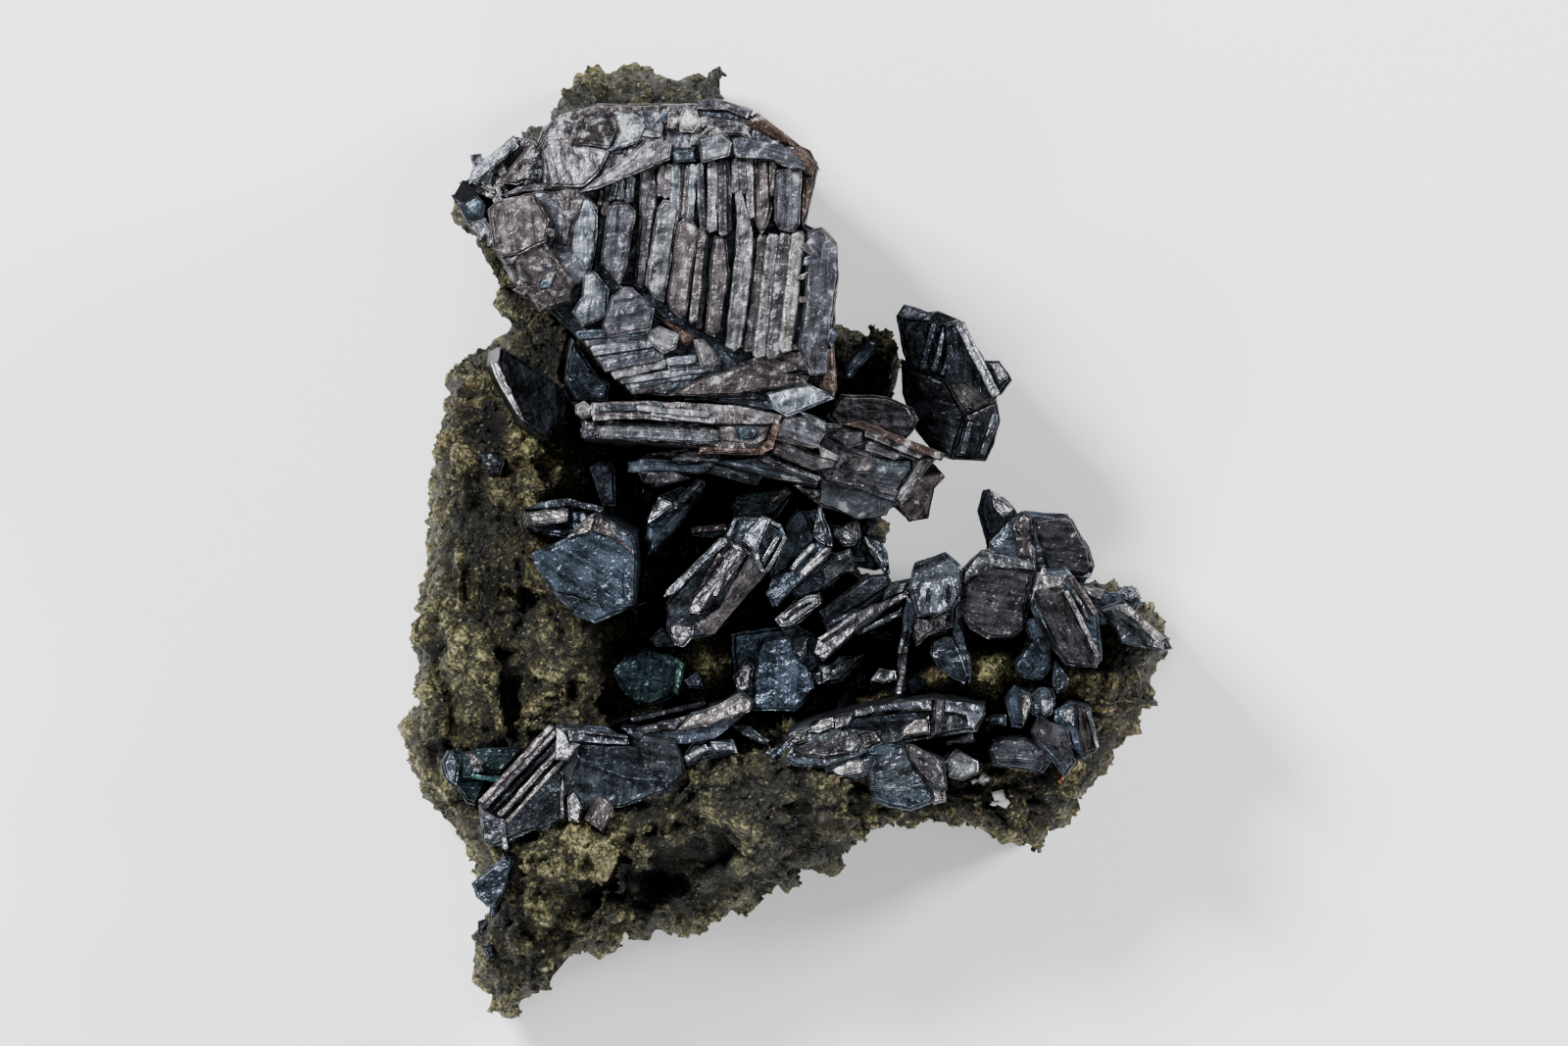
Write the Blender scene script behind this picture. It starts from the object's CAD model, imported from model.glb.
"""The look of the djurleite-chalcocite specimen: rock, crystals, grains, light and camera."""
import math

import bpy
import numpy as np
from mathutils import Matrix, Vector


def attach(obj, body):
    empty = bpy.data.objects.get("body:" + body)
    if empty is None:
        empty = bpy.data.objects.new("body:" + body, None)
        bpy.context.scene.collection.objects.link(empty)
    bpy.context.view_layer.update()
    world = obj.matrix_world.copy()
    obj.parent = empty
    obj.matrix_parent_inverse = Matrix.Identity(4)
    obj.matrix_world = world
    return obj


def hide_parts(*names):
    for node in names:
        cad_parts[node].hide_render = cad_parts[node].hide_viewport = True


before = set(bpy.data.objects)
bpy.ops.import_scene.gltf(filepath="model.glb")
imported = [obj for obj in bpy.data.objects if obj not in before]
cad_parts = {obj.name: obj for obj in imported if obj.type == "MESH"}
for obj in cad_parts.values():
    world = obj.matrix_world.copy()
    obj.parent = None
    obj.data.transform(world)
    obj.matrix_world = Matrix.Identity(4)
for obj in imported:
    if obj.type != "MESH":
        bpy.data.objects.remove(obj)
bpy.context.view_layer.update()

# Rock: one broken piece of olive-brown rock that all the crystals have grown on, with a high wall on
# the left, a ledge along the bottom that ends in a foot, and a lobe on the right. It lies on its flat
# broken back, and nothing fixes it. All sizes are in millimetres down to the floor's section.
MM = 0.001
CENTRE = (-2.7, -10.6)  # middle of the polar grid that makes the rock
GRID = (900, 84, 20)    # grid lines round the rock, front rows, side rows
LUMP_SEED = 7
LUMP_COUNT = 170
RIM_FALL = 0.45         # height of the rock's rim as a share of its front height
RIM_POWER = 14          # the higher, the closer to the outline the front falls to its rim
FIRST_SHARE = 0.012     # the first front row, as a share of the way from the middle to the outline
CROWDING = 1.25         # above 1 the front rows lie closer together towards the outline
SIDE_AT = [0, 0.5, 0.75, 0.92, 1]       # stages of the way down the side, from the rim to the back
SIDE_REACH = [1, 1.0, 0.985, 0.955, 0.93]  # distance from the middle there, as a share of the outline's
SIDE_DROP = [0, 0.5, 0.8, 0.95, 1]      # fall there, as a share of the rim's height
COARSE, COARSE_MIDDLE, COARSE_HEIGHT = 3.0, 0.41, 2.1  # the rock's large lumps: size, mean level, height
FINE, FINE_MIDDLE, FINE_HEIGHT = 1.1, 0.42, 1.2        # its small lumps, the same
PITS, PITS_FROM, PITS_DEPTH = 1.7, 0.60, 3.0           # its pits: size, level from which they sink, depth
FIRM_BELOW = 2.5        # under this height the noise dies away towards the flat back
PIT = (0.002, 0.002, 0.0014, 1)         # colours of the rock
OLIVE = (0.036, 0.033, 0.0135, 1)
PALE_OLIVE = (0.235, 0.214, 0.098, 1)
RUST = (0.060, 0.036, 0.010, 1)
GREY = (0.030, 0.030, 0.026, 1)
SOOT = (0.006, 0.006, 0.005, 1)
CRACK = (0.003, 0.003, 0.002, 1)
SPARKLE = (0.40, 0.38, 0.27, 1)

# The rock's outline, counterclockwise from the top knob.
OUTLINE = [
    (-4.5, 29.9), (-5.5, 29.4), (-7.1, 29.3), (-8.8, 29.7), (-10.3, 30.1), (-12.7, 29.8), (-14.4, 28.7),
    (-15.2, 27.9), (-15.5, 26.6), (-17.1, 26.2), (-18.6, 24.2), (-20.0, 23.0), (-21.2, 21.9), (-20.6, 20.2),
    (-19.5, 18.2), (-18.5, 16.7), (-18.1, 14.4), (-18.3, 12.9), (-20.6, 12.0), (-21.9, 10.3), (-22.7, 6.3),
    (-22.9, 4.4), (-23.1, 1.9), (-23.4, -3.0), (-24.0, -6.9), (-23.9, -10.6), (-24.5, -13.4),
    (-23.5, -15.6), (-22.7, -17.5), (-20.8, -18.5), (-19.6, -20.7), (-19.9, -22.3), (-19.2, -23.8),
    (-20.3, -25.6), (-19.9, -28.1), (-18.1, -30.4), (-17.0, -29.6), (-15.7, -29.1), (-14.8, -28.0),
    (-14.1, -26.9), (-12.7, -26.3), (-11.1, -26.2), (-10.4, -25.2), (-9.3, -25.9), (-8.1, -25.2),
    (-5.1, -25.1), (-3.6, -23.7), (-2.5, -23.6), (-1.4, -22.4), (0.4, -22.4), (1.1, -21.5), (3.1, -21.3),
    (3.3, -20.4), (4.5, -19.6), (5.3, -18.4), (6.4, -18.4), (9.2, -18.2), (12.3, -18.0), (16.1, -19.7),
    (17.0, -19.1), (18.3, -17.8), (20.0, -15.8), (21.1, -13.8), (22.6, -10.9), (23.7, -10.6), (23.6, -8.8),
    (24.5, -6.6), (23.6, -4.4), (21.7, -3.1), (19.2, -2.5), (16.1, -3.1), (12.9, -3.9), (9.8, -4.5),
    (6.1, -3.4), (4.8, -1.6), (6.1, 0.3), (6.4, 1.9), (6.1, 5.0), (6.4, 7.5), (7.6, 11.5), (7.0, 13.3),
    (6.2, 13.4), (4.0, 13.2), (2.4, 14.4), (2.1, 16.3), (2.6, 18.9), (2.6, 19.7), (1.0, 19.8), (0.5, 22.0),
    (0.4, 24.6), (-0.8, 25.8), (-2.8, 27.0), (-3.9, 27.9), (-4.1, 28.0),
]

# Height of the rock's front at places (x, y, z).
LIE = [
    # knob above the crown crystal, and the rock behind it
    (-10, 29.5, 13), (-14.5, 28, 13.5), (-5.2, 29.3, 14), (-17, 26, 12), (0, 25.5, 11), (2.8, 19.5, 11),
    (-8, 20, 9), (-3, 15, 9), (0, 20, 9), (-12, 15, 9), (-16.5, 14, 11), (-17, 11.5, 12.5),
    # left wall
    (-20.5, 9, 16), (-21.5, 5, 16.5), (-22, 0, 16.5), (-21, -5, 17), (-19.5, -7, 17.5), (-18, -2, 16),
    (-17.5, 5, 15.5), (-19, 2, 16), (-16, -6, 17), (-14.5, -8, 17.5), (-13.5, -5, 15.5), (-17, -10, 16.5),
    (-14, -10.5, 16), (-22, -9, 15.5), (-23, -12, 14.5), (-23.5, -15, 13.5), (-21.5, -17, 13),
    # floor of the hollow
    (-13, 5, 11), (-10, 2, 8), (-6, 4, 8), (-2, -2, 8.5), (0, 2, 8), (4, -1, 8.5), (-10, -5, 9.5),
    (-6, -9, 9), (-2, -9, 8), (-10, -10, 11), (3, -9, 8.5), (6, -7, 9), (8, -9, 9.5), (5, 12, 9),
    (7, 11, 9.5), (9, 9, 8), (5, 6, 7), (6, 2, 7),
    # ledge along the bottom, its underside and the foot
    (-8, -17, 18.5), (-4, -16, 19.2), (0, -15, 19.2), (3, -16, 19), (5, -17, 17.5), (-2, -18.5, 19.5),
    (-12, -20, 18.5), (-16, -20, 18), (-18, -22, 16.5), (-12, -23, 16.5), (-8, -23, 14), (-3, -23, 13),
    (2, -20.5, 14), (-4, -20.5, 17), (-10, -20.5, 18), (-5, -25, 11), (-13, -25.5, 13), (-15, -27, 13),
    (-18, -29.5, 12.5), (-19.5, -27, 12.5), (-19.5, -24, 13.5),
    # right lobe
    (10, -17.5, 13.5), (14, -17.5, 13.5), (16.5, -19, 13), (19, -17, 13), (21, -13, 13), (22.5, -10, 12.5),
    (24, -7, 12.5), (22, -8, 13.5), (20, -10, 13.5), (13, -10, 11), (15, -11, 11.5), (10, -12, 10),
    (18, -9, 13), (12, -8, 11), (10, -6, 10), (16, -4, 10), (20, -3, 11), (14, -2.5, 9),
]

# Cracks in the left wall and in the ledge: two ends, half width, depth.
CRACKS = [
    ((-18.1, -4.9), (-17.3, -12.4), 0.35, 0.9), ((-20.0, -3.4), (-16.6, -3.8), 0.35, 1.0),
    ((-12.7, -21.6), (-5.8, -19.6), 0.6, 0.9),
]

# Narrow hollows that only the look has, and not the solid: two ends, half width, depth.
CLEFTS = [
    ((-16.9, -4.1), (-18.0, -7.2), .3, 1.6), ((-18.0, -7.2), (-17.2, -12.6), .3, 1.5),
    ((-17.2, -9.8), (-16.2, -12.4), .3, 1.0), ((-22.8, -5.4), (-22.2, -8.8), .5, 1.6),
    ((-22.2, -8.8), (-20.9, -12.2), .5, 1.6), ((-18.0, -3.8), (-15.3, -3.6), .25, .9),
    ((-21.0, 1.6), (-20.6, -3.2), .4, 1.0), ((-20.6, -3.2), (-19.6, -5.2), .35, 1.2),
    ((-19.9, 2.4), (-16.2, 1.2), .9, .8), ((-13.2, -23.0), (-8.2, -21.4), .9, 2.0),
    ((-8.2, -21.4), (-4.4, -20.4), .8, 2.0), ((-4.4, -20.2), (-1.2, -20.0), .5, 1.2),
    ((-6.4, -17.3), (-3.0, -19.6), .3, 1.0), ((-12.6, -23.6), (-9.8, -21.8), .7, 1.4),
    ((-9, -22.4), (-3.4, -21.6), .8, 1.2), ((-1, -17.6), (3.8, -17.2), .5, .8),
    ((-15, -24.5), (-12.4, -22.4), .5, 1.0), ((-18.4, -21.6), (-15.2, -20.4), .4, .9),
    ((-20.2, 9.5), (-19.6, 5.5), .5, .8), ((-22.6, 3.8), (-22.0, -.6), .35, .8),
    ((-12, 28.6), (-7, 29.2), .4, .8), ((-13.9, -6.2), (-13.5, -6.4), .3, .9),
    ((-13.2, -20.6), (-8.0, -22.6), .4, 1.3), ((5.0, -10.6), (8.4, -10.2), .4, .9),
    ((14.5, -15.4), (16.6, -17.4), .45, 1.2), ((18.2, -15), (20.6, -13.2), .4, .9),
    ((6, -17.2), (11.5, -16.8), .4, .8),
]

# Swellings: place, two half lengths, turn in degrees, height.
MOUNDS = [
    (-19.9, -8.2, 1.3, 3.8, -6, 1.1), (-14.2, -7.0, 2.4, 3.6, 12, .9), (-23.2, -9.5, .7, 2.4, 8, .6),
    (-3.8, -18.0, 2.8, 1.0, -28, 1.3), (-9.2, -20.3, 4.6, .45, 17, 1.0), (-4.6, -8.0, 2.4, 1.8, 0, 4.2),
    (-10.8, 3.2, 1.6, 1.6, 0, 1.8), (-14.3, 4.3, 1.9, 1.5, 0, 2.8), (-21.4, 3.8, 1.1, 1.6, 0, .7),
    (-20.8, -.6, 1.0, 1.8, 10, .6), (-10.4, -18.9, 3.4, .6, 18, .9), (-16, -20.5, 2.4, 1.0, 20, .7),
    (2.4, -16.6, 2.2, 1.2, 10, .7), (-12.6, -21.8, 3.6, .6, 32, .7), (9, -9.1, 1.9, 1.0, 12, .9),
    (13.2, -7.4, 1.4, 1.0, 0, .8), (-9.0, -19.6, 4.0, .4, 14, .8), (4.8, -10.0, 2.4, .8, -8, 3.6),
    (9.2, -9.0, 2.2, 1.2, 10, 4.4), (13.0, -8.6, 1.7, 1.6, 0, 3.6), (19.3, -9.2, 1.6, 1.3, 0, 1.0),
    (-10, 28.6, 3.2, .8, 4, .7), (17, -17.2, 1.4, 1.0, 40, .6), (21.4, -9, 1.4, 1.8, 0, .6),
]

# Where the noise is weaker, on the boulder and the long lump: place, squares of half lengths, weight.
CALM = [(-14.3, -7.4, 9, 16, 1.0), (-3.8, -18, 6, 2, 0.8)]

# Soft spots of rust, grey and soot: place, radius, weight.
RUST_SPOTS = [(-19, 8, 5, 1), (20, -11, 5, 1), (-16, 0, 3.5, 1), (6, -8, 5, 1), (-8.5, 29, 3, 0.7)]
GREY_SPOTS = [(0, -21, 7, 1), (-4, -19, 5, 1), (-20, -25, 4, 1), (-19, 1.5, 3, 1), (-12.5, -9.5, 3.5, 1)]
SOOT_SPOTS = [(-8, 29.5, 3.5, 0.5), (-19.5, 19.5, 4.5, 1), (-16.5, 26.5, 2.6, 1), (-4.4, 29.2, 2.2, 1),
              (-10, 29, 4, 0.5), (3, 19, 3, 1), (-2, -1, 6.5, 1), (5, -4, 4, 1), (8, -6, 2.5, 1),
              (-10.5, 6.5, 3.2, 1), (-18.4, 1.5, 2.2, 0.6), (-14.5, 13, 3.5, 1)]
RUST_EVERYWHERE = 0.15


class Sum:
    """A socket of a node tree on which +, - and * make maths nodes."""

    def __init__(self, tree, socket):
        self.tree, self.socket = tree, socket

    def result(self, output, kind, settings=None, **inputs):
        """An output of a new node of a kind; settings come first, inputs go by name, or by i and a number."""
        node = self.tree.nodes.new(kind)
        for key, value in (settings or {}).items():
            setattr(node, key, value)
        for key, value in inputs.items():
            numbered = key[0] == "i" and key[1:].isdigit()
            target = node.inputs[int(key[1:]) if numbered else key.replace("_", " ")]
            if isinstance(value, Sum):
                self.tree.links.new(value.socket, target)
            else:
                target.default_value = value
        return Sum(self.tree, node.outputs[output])

    def maths(self, operation, first, second):
        return self.result(0, "ShaderNodeMath", {"operation": operation}, i0=first, i1=second)

    def __add__(self, other):
        return self.maths("ADD", self, other)

    def __radd__(self, other):
        return self.maths("ADD", other, self)

    def __sub__(self, other):
        return self.maths("SUBTRACT", self, other)

    def __rsub__(self, other):
        return self.maths("SUBTRACT", other, self)

    def __mul__(self, other):
        return self.maths("MULTIPLY", self, other)

    def __rmul__(self, other):
        return self.maths("MULTIPLY", other, self)

    def step(self, low, high):
        """0 below low, 1 above high, smooth between."""
        return self.result(0, "ShaderNodeMapRange", {"interpolation_type": "SMOOTHSTEP"},
                           Value=self, From_Min=low, From_Max=high)

    def mix(self, first, second):
        """Colour between first and second by this factor."""
        return self.result(2, "ShaderNodeMix", {"data_type": "RGBA"}, i0=self, i6=first, i7=second)

    def scale(self, colour):
        """Colour made darker or brighter by this factor."""
        return self.result(0, "ShaderNodeVectorMath", {"operation": "SCALE"}, i0=colour, i3=self)

    def noise(self, scale, detail, rough):
        """Noise of about one feature per 1/scale millimetres, taken at this vector."""
        return self.result("Fac", "ShaderNodeTexNoise",
                           Vector=self, Scale=scale, Detail=detail, Roughness=rough)

    def patches(self, scale):
        """One random value per cell, with about one cell per 1/scale millimetres, taken at this vector."""
        return self.result("Color", "ShaderNodeTexVoronoi", Vector=self, Scale=scale)

    def attribute(self, name, output="Fac"):
        """A named attribute of the mesh."""
        return self.result(output, "ShaderNodeAttribute", {"attribute_name": name})


def new_material(name):
    """Empty material; returns it, a start for its nodes, and its object coordinates in millimetres."""
    mat = bpy.data.materials.new(name)
    mat.use_nodes = True
    start = Sum(mat.node_tree, None)
    metres = start.result("Object", "ShaderNodeTexCoord")
    return mat, start, start.result(0, "ShaderNodeVectorMath", {"operation": "SCALE"}, i0=metres, i3=1 / MM)


def finish_shader(start, colour, rough, metallic, height, distance):
    """Sets colour, roughness, metallic and a bump of so many millimetres on the Principled shader."""
    shader = start.tree.nodes["Principled BSDF"]
    bump = start.result(0, "ShaderNodeBump", Strength=1.0, Distance=distance * MM, Height=height)
    for name, value in (("Base Color", colour), ("Roughness", rough), ("Metallic", metallic),
                        ("Normal", bump)):
        if isinstance(value, Sum):
            start.tree.links.new(value.socket, shader.inputs[name])
        else:
            shader.inputs[name].default_value = value
    return shader


def rock_material():
    """Olive-brown rock: black pits, pale lumps, rusty patches, fine cracks and sparse sugary sparkle."""
    mat, start, mm = new_material("rock")
    grain = mm.noise(2.6, 4, 0.78)
    sugar = mm.patches(5.5)
    speck = mm.noise(3.4, 4, 0.85).step(0.40, 0.62)
    warp = start.result("Color", "ShaderNodeTexNoise", Vector=mm, Scale=0.7, Detail=3.0)
    bent = start.result(0, "ShaderNodeVectorMath", {"operation": "MULTIPLY_ADD"},
                        i0=warp, i1=(3.0, 3.0, 3.0), i2=mm)
    border = start.result("Distance", "ShaderNodeTexVoronoi", {"feature": "DISTANCE_TO_EDGE"},
                          Vector=bent, Scale=0.42)
    crack = 1 - border.step(0.0, 0.08)
    broad = mm.noise(0.28, 2, 0.6)
    tone = start.attribute("lift") * 0.95 + grain * 1.45 + speck * 0.2 + broad * 0.45 + sugar * 0.24 - 1.30
    rust = (mm.noise(0.9, 3, 0.65) + start.attribute("rust") * 0.14).step(0.60, 0.70) * 0.6
    colour = tone.step(0.0, 0.42).mix(PIT, OLIVE)
    colour = tone.step(0.38, 0.92).mix(colour, PALE_OLIVE)
    colour = (rust * tone.step(0.0, 0.4)).mix(colour, RUST)
    colour = (start.attribute("grey") * 0.35).mix(colour, GREY)
    colour = (start.attribute("soot") * 0.75).mix(colour, SOOT)
    colour = (speck * 1.7 + sugar * 0.7 + 0.10).scale(colour)
    colour = (crack * 0.8).mix(colour, CRACK)
    glint = (sugar + speck * 0.3).step(1.08, 1.14)
    colour = (glint * 0.7).mix(colour, SPARKLE)
    height = grain * 1.4 - crack * 1.2 + sugar * 0.45 + speck * 0.4
    shader = finish_shader(start, colour, 0.6 - glint * 0.35, 0.0, height, 0.5)
    shader.inputs["Specular IOR Level"].default_value = 0.3
    return mat


def rock_rays(columns):
    """Points evenly spaced along the rock's outline, as offsets from CENTRE."""
    pts = np.array(OUTLINE + OUTLINE[:1]) - CENTRE
    run = np.r_[0, np.cumsum(np.hypot(*np.diff(pts, axis=0).T))]
    at = np.linspace(0, run[-1], columns, endpoint=False)
    return np.c_[np.interp(at, run, pts[:, 0]), np.interp(at, run, pts[:, 1])]


def from_line(x, y, start, end):
    """Distance of points from the line between two ends: the foot of each lies at a share held to 0..1."""
    (ax, ay), (bx, by) = start, end
    share = np.clip(((x - ax) * (bx - ax) + (y - ay) * (by - ay)) / ((bx - ax) ** 2 + (by - ay) ** 2), 0, 1)
    return np.hypot(x - ax - share * (bx - ax), y - ay - share * (by - ay))


def rock_height(x, y):
    """Height of the rock's front: mean of LIE weighted by 1 / distance^4, plus lumps, minus cracks."""
    lie = np.array(LIE)
    d2 = (x[..., None] - lie[:, 0]) ** 2 + (y[..., None] - lie[:, 1]) ** 2
    weight = 1 / (d2 + 0.6) ** 2
    z = (weight * lie[:, 2]).sum(-1) / weight.sum(-1)
    rng = np.random.default_rng(LUMP_SEED)
    cx, cy = rng.uniform(-25, 25, LUMP_COUNT), rng.uniform(-31, 31, LUMP_COUNT)
    radius, high = rng.uniform(1.2, 2.6, LUMP_COUNT), rng.uniform(-0.7, 1.0, LUMP_COUNT)
    for k in range(LUMP_COUNT):
        z = z + high[k] * np.exp(-((x - cx[k]) ** 2 + (y - cy[k]) ** 2) / radius[k] ** 2)
    for start, end, half, deep in CRACKS:
        z = z - deep * np.exp(-(from_line(x, y, start, end) / half) ** 2)
    return z


def carving(x, y):
    """Height added to the front: mounds as exp(-r^2) in their own axes, clefts the same across a line."""
    z = np.zeros_like(x)
    for mx, my, long_, wide, turn, high in MOUNDS:
        c, s = math.cos(math.radians(turn)), math.sin(math.radians(turn))
        u, v = (x - mx) * c + (y - my) * s, (y - my) * c - (x - mx) * s
        z += high * np.exp(-(u / long_) ** 2 - (v / wide) ** 2)
    wander = 0.35 * np.sin(2.1 * x + 1.3 * y) * np.sin(1.7 * y - 0.9 * x)
    for start, end, half, deep in CLEFTS:
        z -= deep * np.exp(-((from_line(x, y, start, end) + wander) / half) ** 2)
    return z


def random_at(p, scale, seed):
    """Smooth random value 0..1: random numbers at the corners of cells, blended by 3t^2 - 2t^3."""
    q = p / scale
    cell = np.floor(q).astype(np.int64)
    t = q - cell
    t = t * t * (3 - 2 * t)
    total = np.zeros(len(p))
    for corner in range(8):
        bit = np.array([corner & 1, corner >> 1 & 1, corner >> 2 & 1])
        h = (cell + bit) @ np.array([374761393, 668265263, 1274126177]) + seed * 144269
        h = (h ^ (h >> 13)) * 1103515245
        h = (h ^ (h >> 16)) & 0xFFFF
        total += h / 65535 * np.prod(np.where(bit, t, 1 - t), axis=1)
    return total


def layered(p, scale, octaves, seed, lumpy=False):
    """Sum of random_at over halving scales, weights halving too; lumpy folds each about its middle."""
    total, weight = np.zeros(len(p)), 0
    for k in range(octaves):
        v = random_at(p, scale / 2 ** k, seed + 17 * k)
        total += (1 - np.abs(2 * v - 1) if lumpy else v) / 2 ** k
        weight += 1 / 2 ** k
    return total / weight


def grid_normals(p):
    """Unit normals of a (rows, columns, 3) grid that closes round its columns: cross of both differences."""
    n = np.cross(np.gradient(p, axis=0), np.roll(p, -1, 1) - np.roll(p, 1, 1))
    return n / np.maximum(np.linalg.norm(n, axis=2, keepdims=True), 1e-9)


def rock_form():
    """Points (rows, columns, 3) of the rock before its noise and its carving.

    Front rows: share s of the ray from CENTRE, height h(x, y) times fall + (1 - fall) sqrt(1 - s^14).
    Side rows: down the rim and in again under it to the flat back.
    """
    columns, front, side = GRID
    ray = rock_rays(columns)
    share = 1 - (1 - np.linspace(FIRST_SHARE, 1, front)) ** CROWDING
    x = CENTRE[0] + np.outer(share, ray[:, 0])
    y = CENTRE[1] + np.outer(share, ray[:, 1])
    rounding = RIM_FALL + (1 - RIM_FALL) * np.sqrt(np.maximum(1 - share[:, None] ** RIM_POWER, 0))
    z = rock_height(x, y) * rounding
    down = np.linspace(0, 1, side + 1)[1:]
    reach, drop = np.interp(down, SIDE_AT, SIDE_REACH), np.interp(down, SIDE_AT, SIDE_DROP)
    low = np.stack([CENTRE[0] + np.outer(reach, ray[:, 0]), CENTRE[1] + np.outer(reach, ray[:, 1]),
                    z[-1] * (1 - drop[:, None])], 2)
    return np.concatenate([np.stack([x, y, z], 2), low])


def rock_surface():
    """Points and normals (rows, columns, 3) of the rock, and how pale it is at each point.

    Three layers of noise move each point of the form along its normal, less towards the back. The
    carving then lifts or sinks the front, and lumps come out paler than pits.
    """
    p = rock_form()
    n = -grid_normals(p)
    n *= np.sign(n[10, 0, 2])
    flat, shape = p.reshape(-1, 3), p.shape[:2]
    coarse = 1 - layered(flat, COARSE, 4, 3, True).reshape(shape)
    fine = 1 - layered(flat, FINE, 2, 9, True).reshape(shape)
    pits = np.maximum(layered(flat, PITS, 2, 31).reshape(shape) - PITS_FROM, 0)
    x, y = p[..., 0], p[..., 1]
    calm = sum(weight * np.exp(-((x - cx) ** 2 / a + (y - cy) ** 2 / b)) for cx, cy, a, b, weight in CALM)
    hold = np.clip(p[..., 2] / FIRM_BELOW, 0, 1)
    carved = carving(x, y) * np.clip(n[..., 2] * 1.5, 0, 1) * hold
    lumps = (coarse - COARSE_MIDDLE) * COARSE_HEIGHT * (1 - 0.7 * calm)
    bumps = (fine - FINE_MIDDLE) * (FINE_HEIGHT - 0.6 * calm)
    holes = pits * PITS_DEPTH * (1 - 0.6 * calm)
    p = p + n * ((lumps + bumps - holes) * hold)[..., None]
    p[..., 2] = np.maximum(p[..., 2] + carved, 0)
    p[-1, :, 2] = 0
    x, y = p[..., 0], p[..., 1]
    # paler rock along the left edge, and on the long lump of the ledge, in its own turned axes u and v
    pale = 0.22 * np.exp(-(x + 22.3) ** 2 / 2.2 - y ** 2 / 30)
    u, v = (x + 3.9) * 0.88 - (y + 18) * 0.47, (x + 3.9) * 0.47 + (y + 18) * 0.88
    pale += 0.35 * np.exp(-(u / 2.6) ** 2 - (v / 0.7) ** 2)
    lift = 0.62 + pale + (coarse - 0.36) * 1.3 + (fine - 0.38) * 0.8 - pits * 3.5 + carved * 0.16
    return p, n, np.clip(lift, 0, 1)


def spotted(p, spots, everywhere=0.0):
    """Level at each point, held to 0..1: a base, plus weight times exp(-(distance / radius)^2) per spot."""
    level = everywhere
    for x, y, radius, weight in spots:
        level = level + weight * np.exp(-((p[:, 0] - x) ** 2 + (p[:, 1] - y) ** 2) / radius ** 2)
    return np.clip(level, 0, 1)


def rock_zones(p):
    """Where the rock is rusty, greyer and sooty, as attributes of points p."""
    return {"rust": spotted(p, RUST_SPOTS, RUST_EVERYWHERE), "grey": spotted(p, GREY_SPOTS),
            "soot": spotted(p, SOOT_SPOTS)}


def skin(rows, columns, first_pole, last_pole):
    """Faces of a grid that closes round its columns, and of a fan from a pole over its first and last row."""
    r, i = np.meshgrid(np.arange(rows - 1), np.arange(columns), indexing="ij")
    a, b = r * columns + i, r * columns + (i + 1) % columns
    i, j = np.arange(columns), (np.arange(columns) + 1) % columns
    last = (rows - 1) * columns
    return (np.stack([a, a + columns, b + columns, b], 2).reshape(-1, 4),
            np.stack([np.full(columns, first_pole), i, j], 1),
            np.stack([np.full(columns, last_pole), last + j, last + i], 1))


def put_mesh(name, verts, faces, mat, attributes):
    """Smooth mesh object from millimetre points and their attributes, on the root body."""
    mesh = bpy.data.meshes.new(name)
    mesh.from_pydata((np.asarray(verts) * MM).tolist(), [], faces)
    kinds = {1: ("FLOAT", "value"), 3: ("FLOAT_VECTOR", "vector"), 4: ("FLOAT_COLOR", "color")}
    for key, values in attributes.items():
        values = np.asarray(values, np.float32)
        kind, field = kinds[1 if values.ndim == 1 else values.shape[1]]
        mesh.attributes.new(key, kind, "POINT").data.foreach_set(field, values.ravel())
    mesh.validate()
    mesh.polygons.foreach_set("use_smooth", [True] * len(mesh.polygons))
    mesh.materials.append(mat)
    ob = bpy.data.objects.new(name, mesh)
    bpy.context.scene.collection.objects.link(ob)
    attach(ob, "root")
    return ob


rock_mat = rock_material()
surface, surface_n, lift = rock_surface()
rows, columns = surface.shape[:2]
rock_points = np.concatenate([surface.reshape(-1, 3), [surface[0].mean(0), [*CENTRE, 0.0]]])
count = rows * columns
rock_faces = [face for part in skin(rows, columns, count, count + 1) for face in part.tolist()]
matrix = put_mesh("matrix_rock", rock_points, rock_faces, rock_mat,
                  {"lift": np.r_[lift.ravel(), 0.5, 0.5], **rock_zones(rock_points)})
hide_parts("matrix")


# Grains: tiny blocky crystals of the rock itself that make its surface sugary. They have grown in it,
# and about half of each stands out.
GRAINS = 15000
GRAIN_MAX = 0.42        # largest side of a grain
GRAIN_LOWEST = 1.0      # no grain sits below this height
STEEP_CHANCE = 0.25     # least chance of a grain on a steep place, beside 1 on a level one
grain_rng = np.random.default_rng(21)


def blocks(at, size, axis, mat, name, attributes):
    """Rough blocks: corners of a cube stretched by size (n, 3), turned to random axes axis (n, 3, 3)."""
    corner = np.array([[a, b, c] for a in (-1, 1) for b in (-1, 1) for c in (-1, 1)], float) * 0.5
    shape = corner[None] * size[:, None, :] * grain_rng.uniform(0.6, 1.15, (len(at), 8, 1))
    p = at[:, None, :] + np.einsum("nij,nkj->nki", axis, shape)
    quad = np.array([[0, 1, 3, 2], [4, 6, 7, 5], [0, 4, 5, 1], [2, 3, 7, 6], [0, 2, 6, 4], [1, 5, 7, 3]])
    faces = (quad[None] + 8 * np.arange(len(at))[:, None, None]).reshape(-1, 4).tolist()
    attributes = {k: np.repeat(v, 8, axis=0) for k, v in attributes.items()}
    return put_mesh(name, p.reshape(-1, 3), faces, mat, attributes)


def random_axes(count):
    """Random right-handed axes (count, 3, 3) from the QR parts of random matrices."""
    q, _ = np.linalg.qr(grain_rng.normal(size=(count, 3, 3)))
    return q * np.sign(np.linalg.det(q))[:, None, None]


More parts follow.
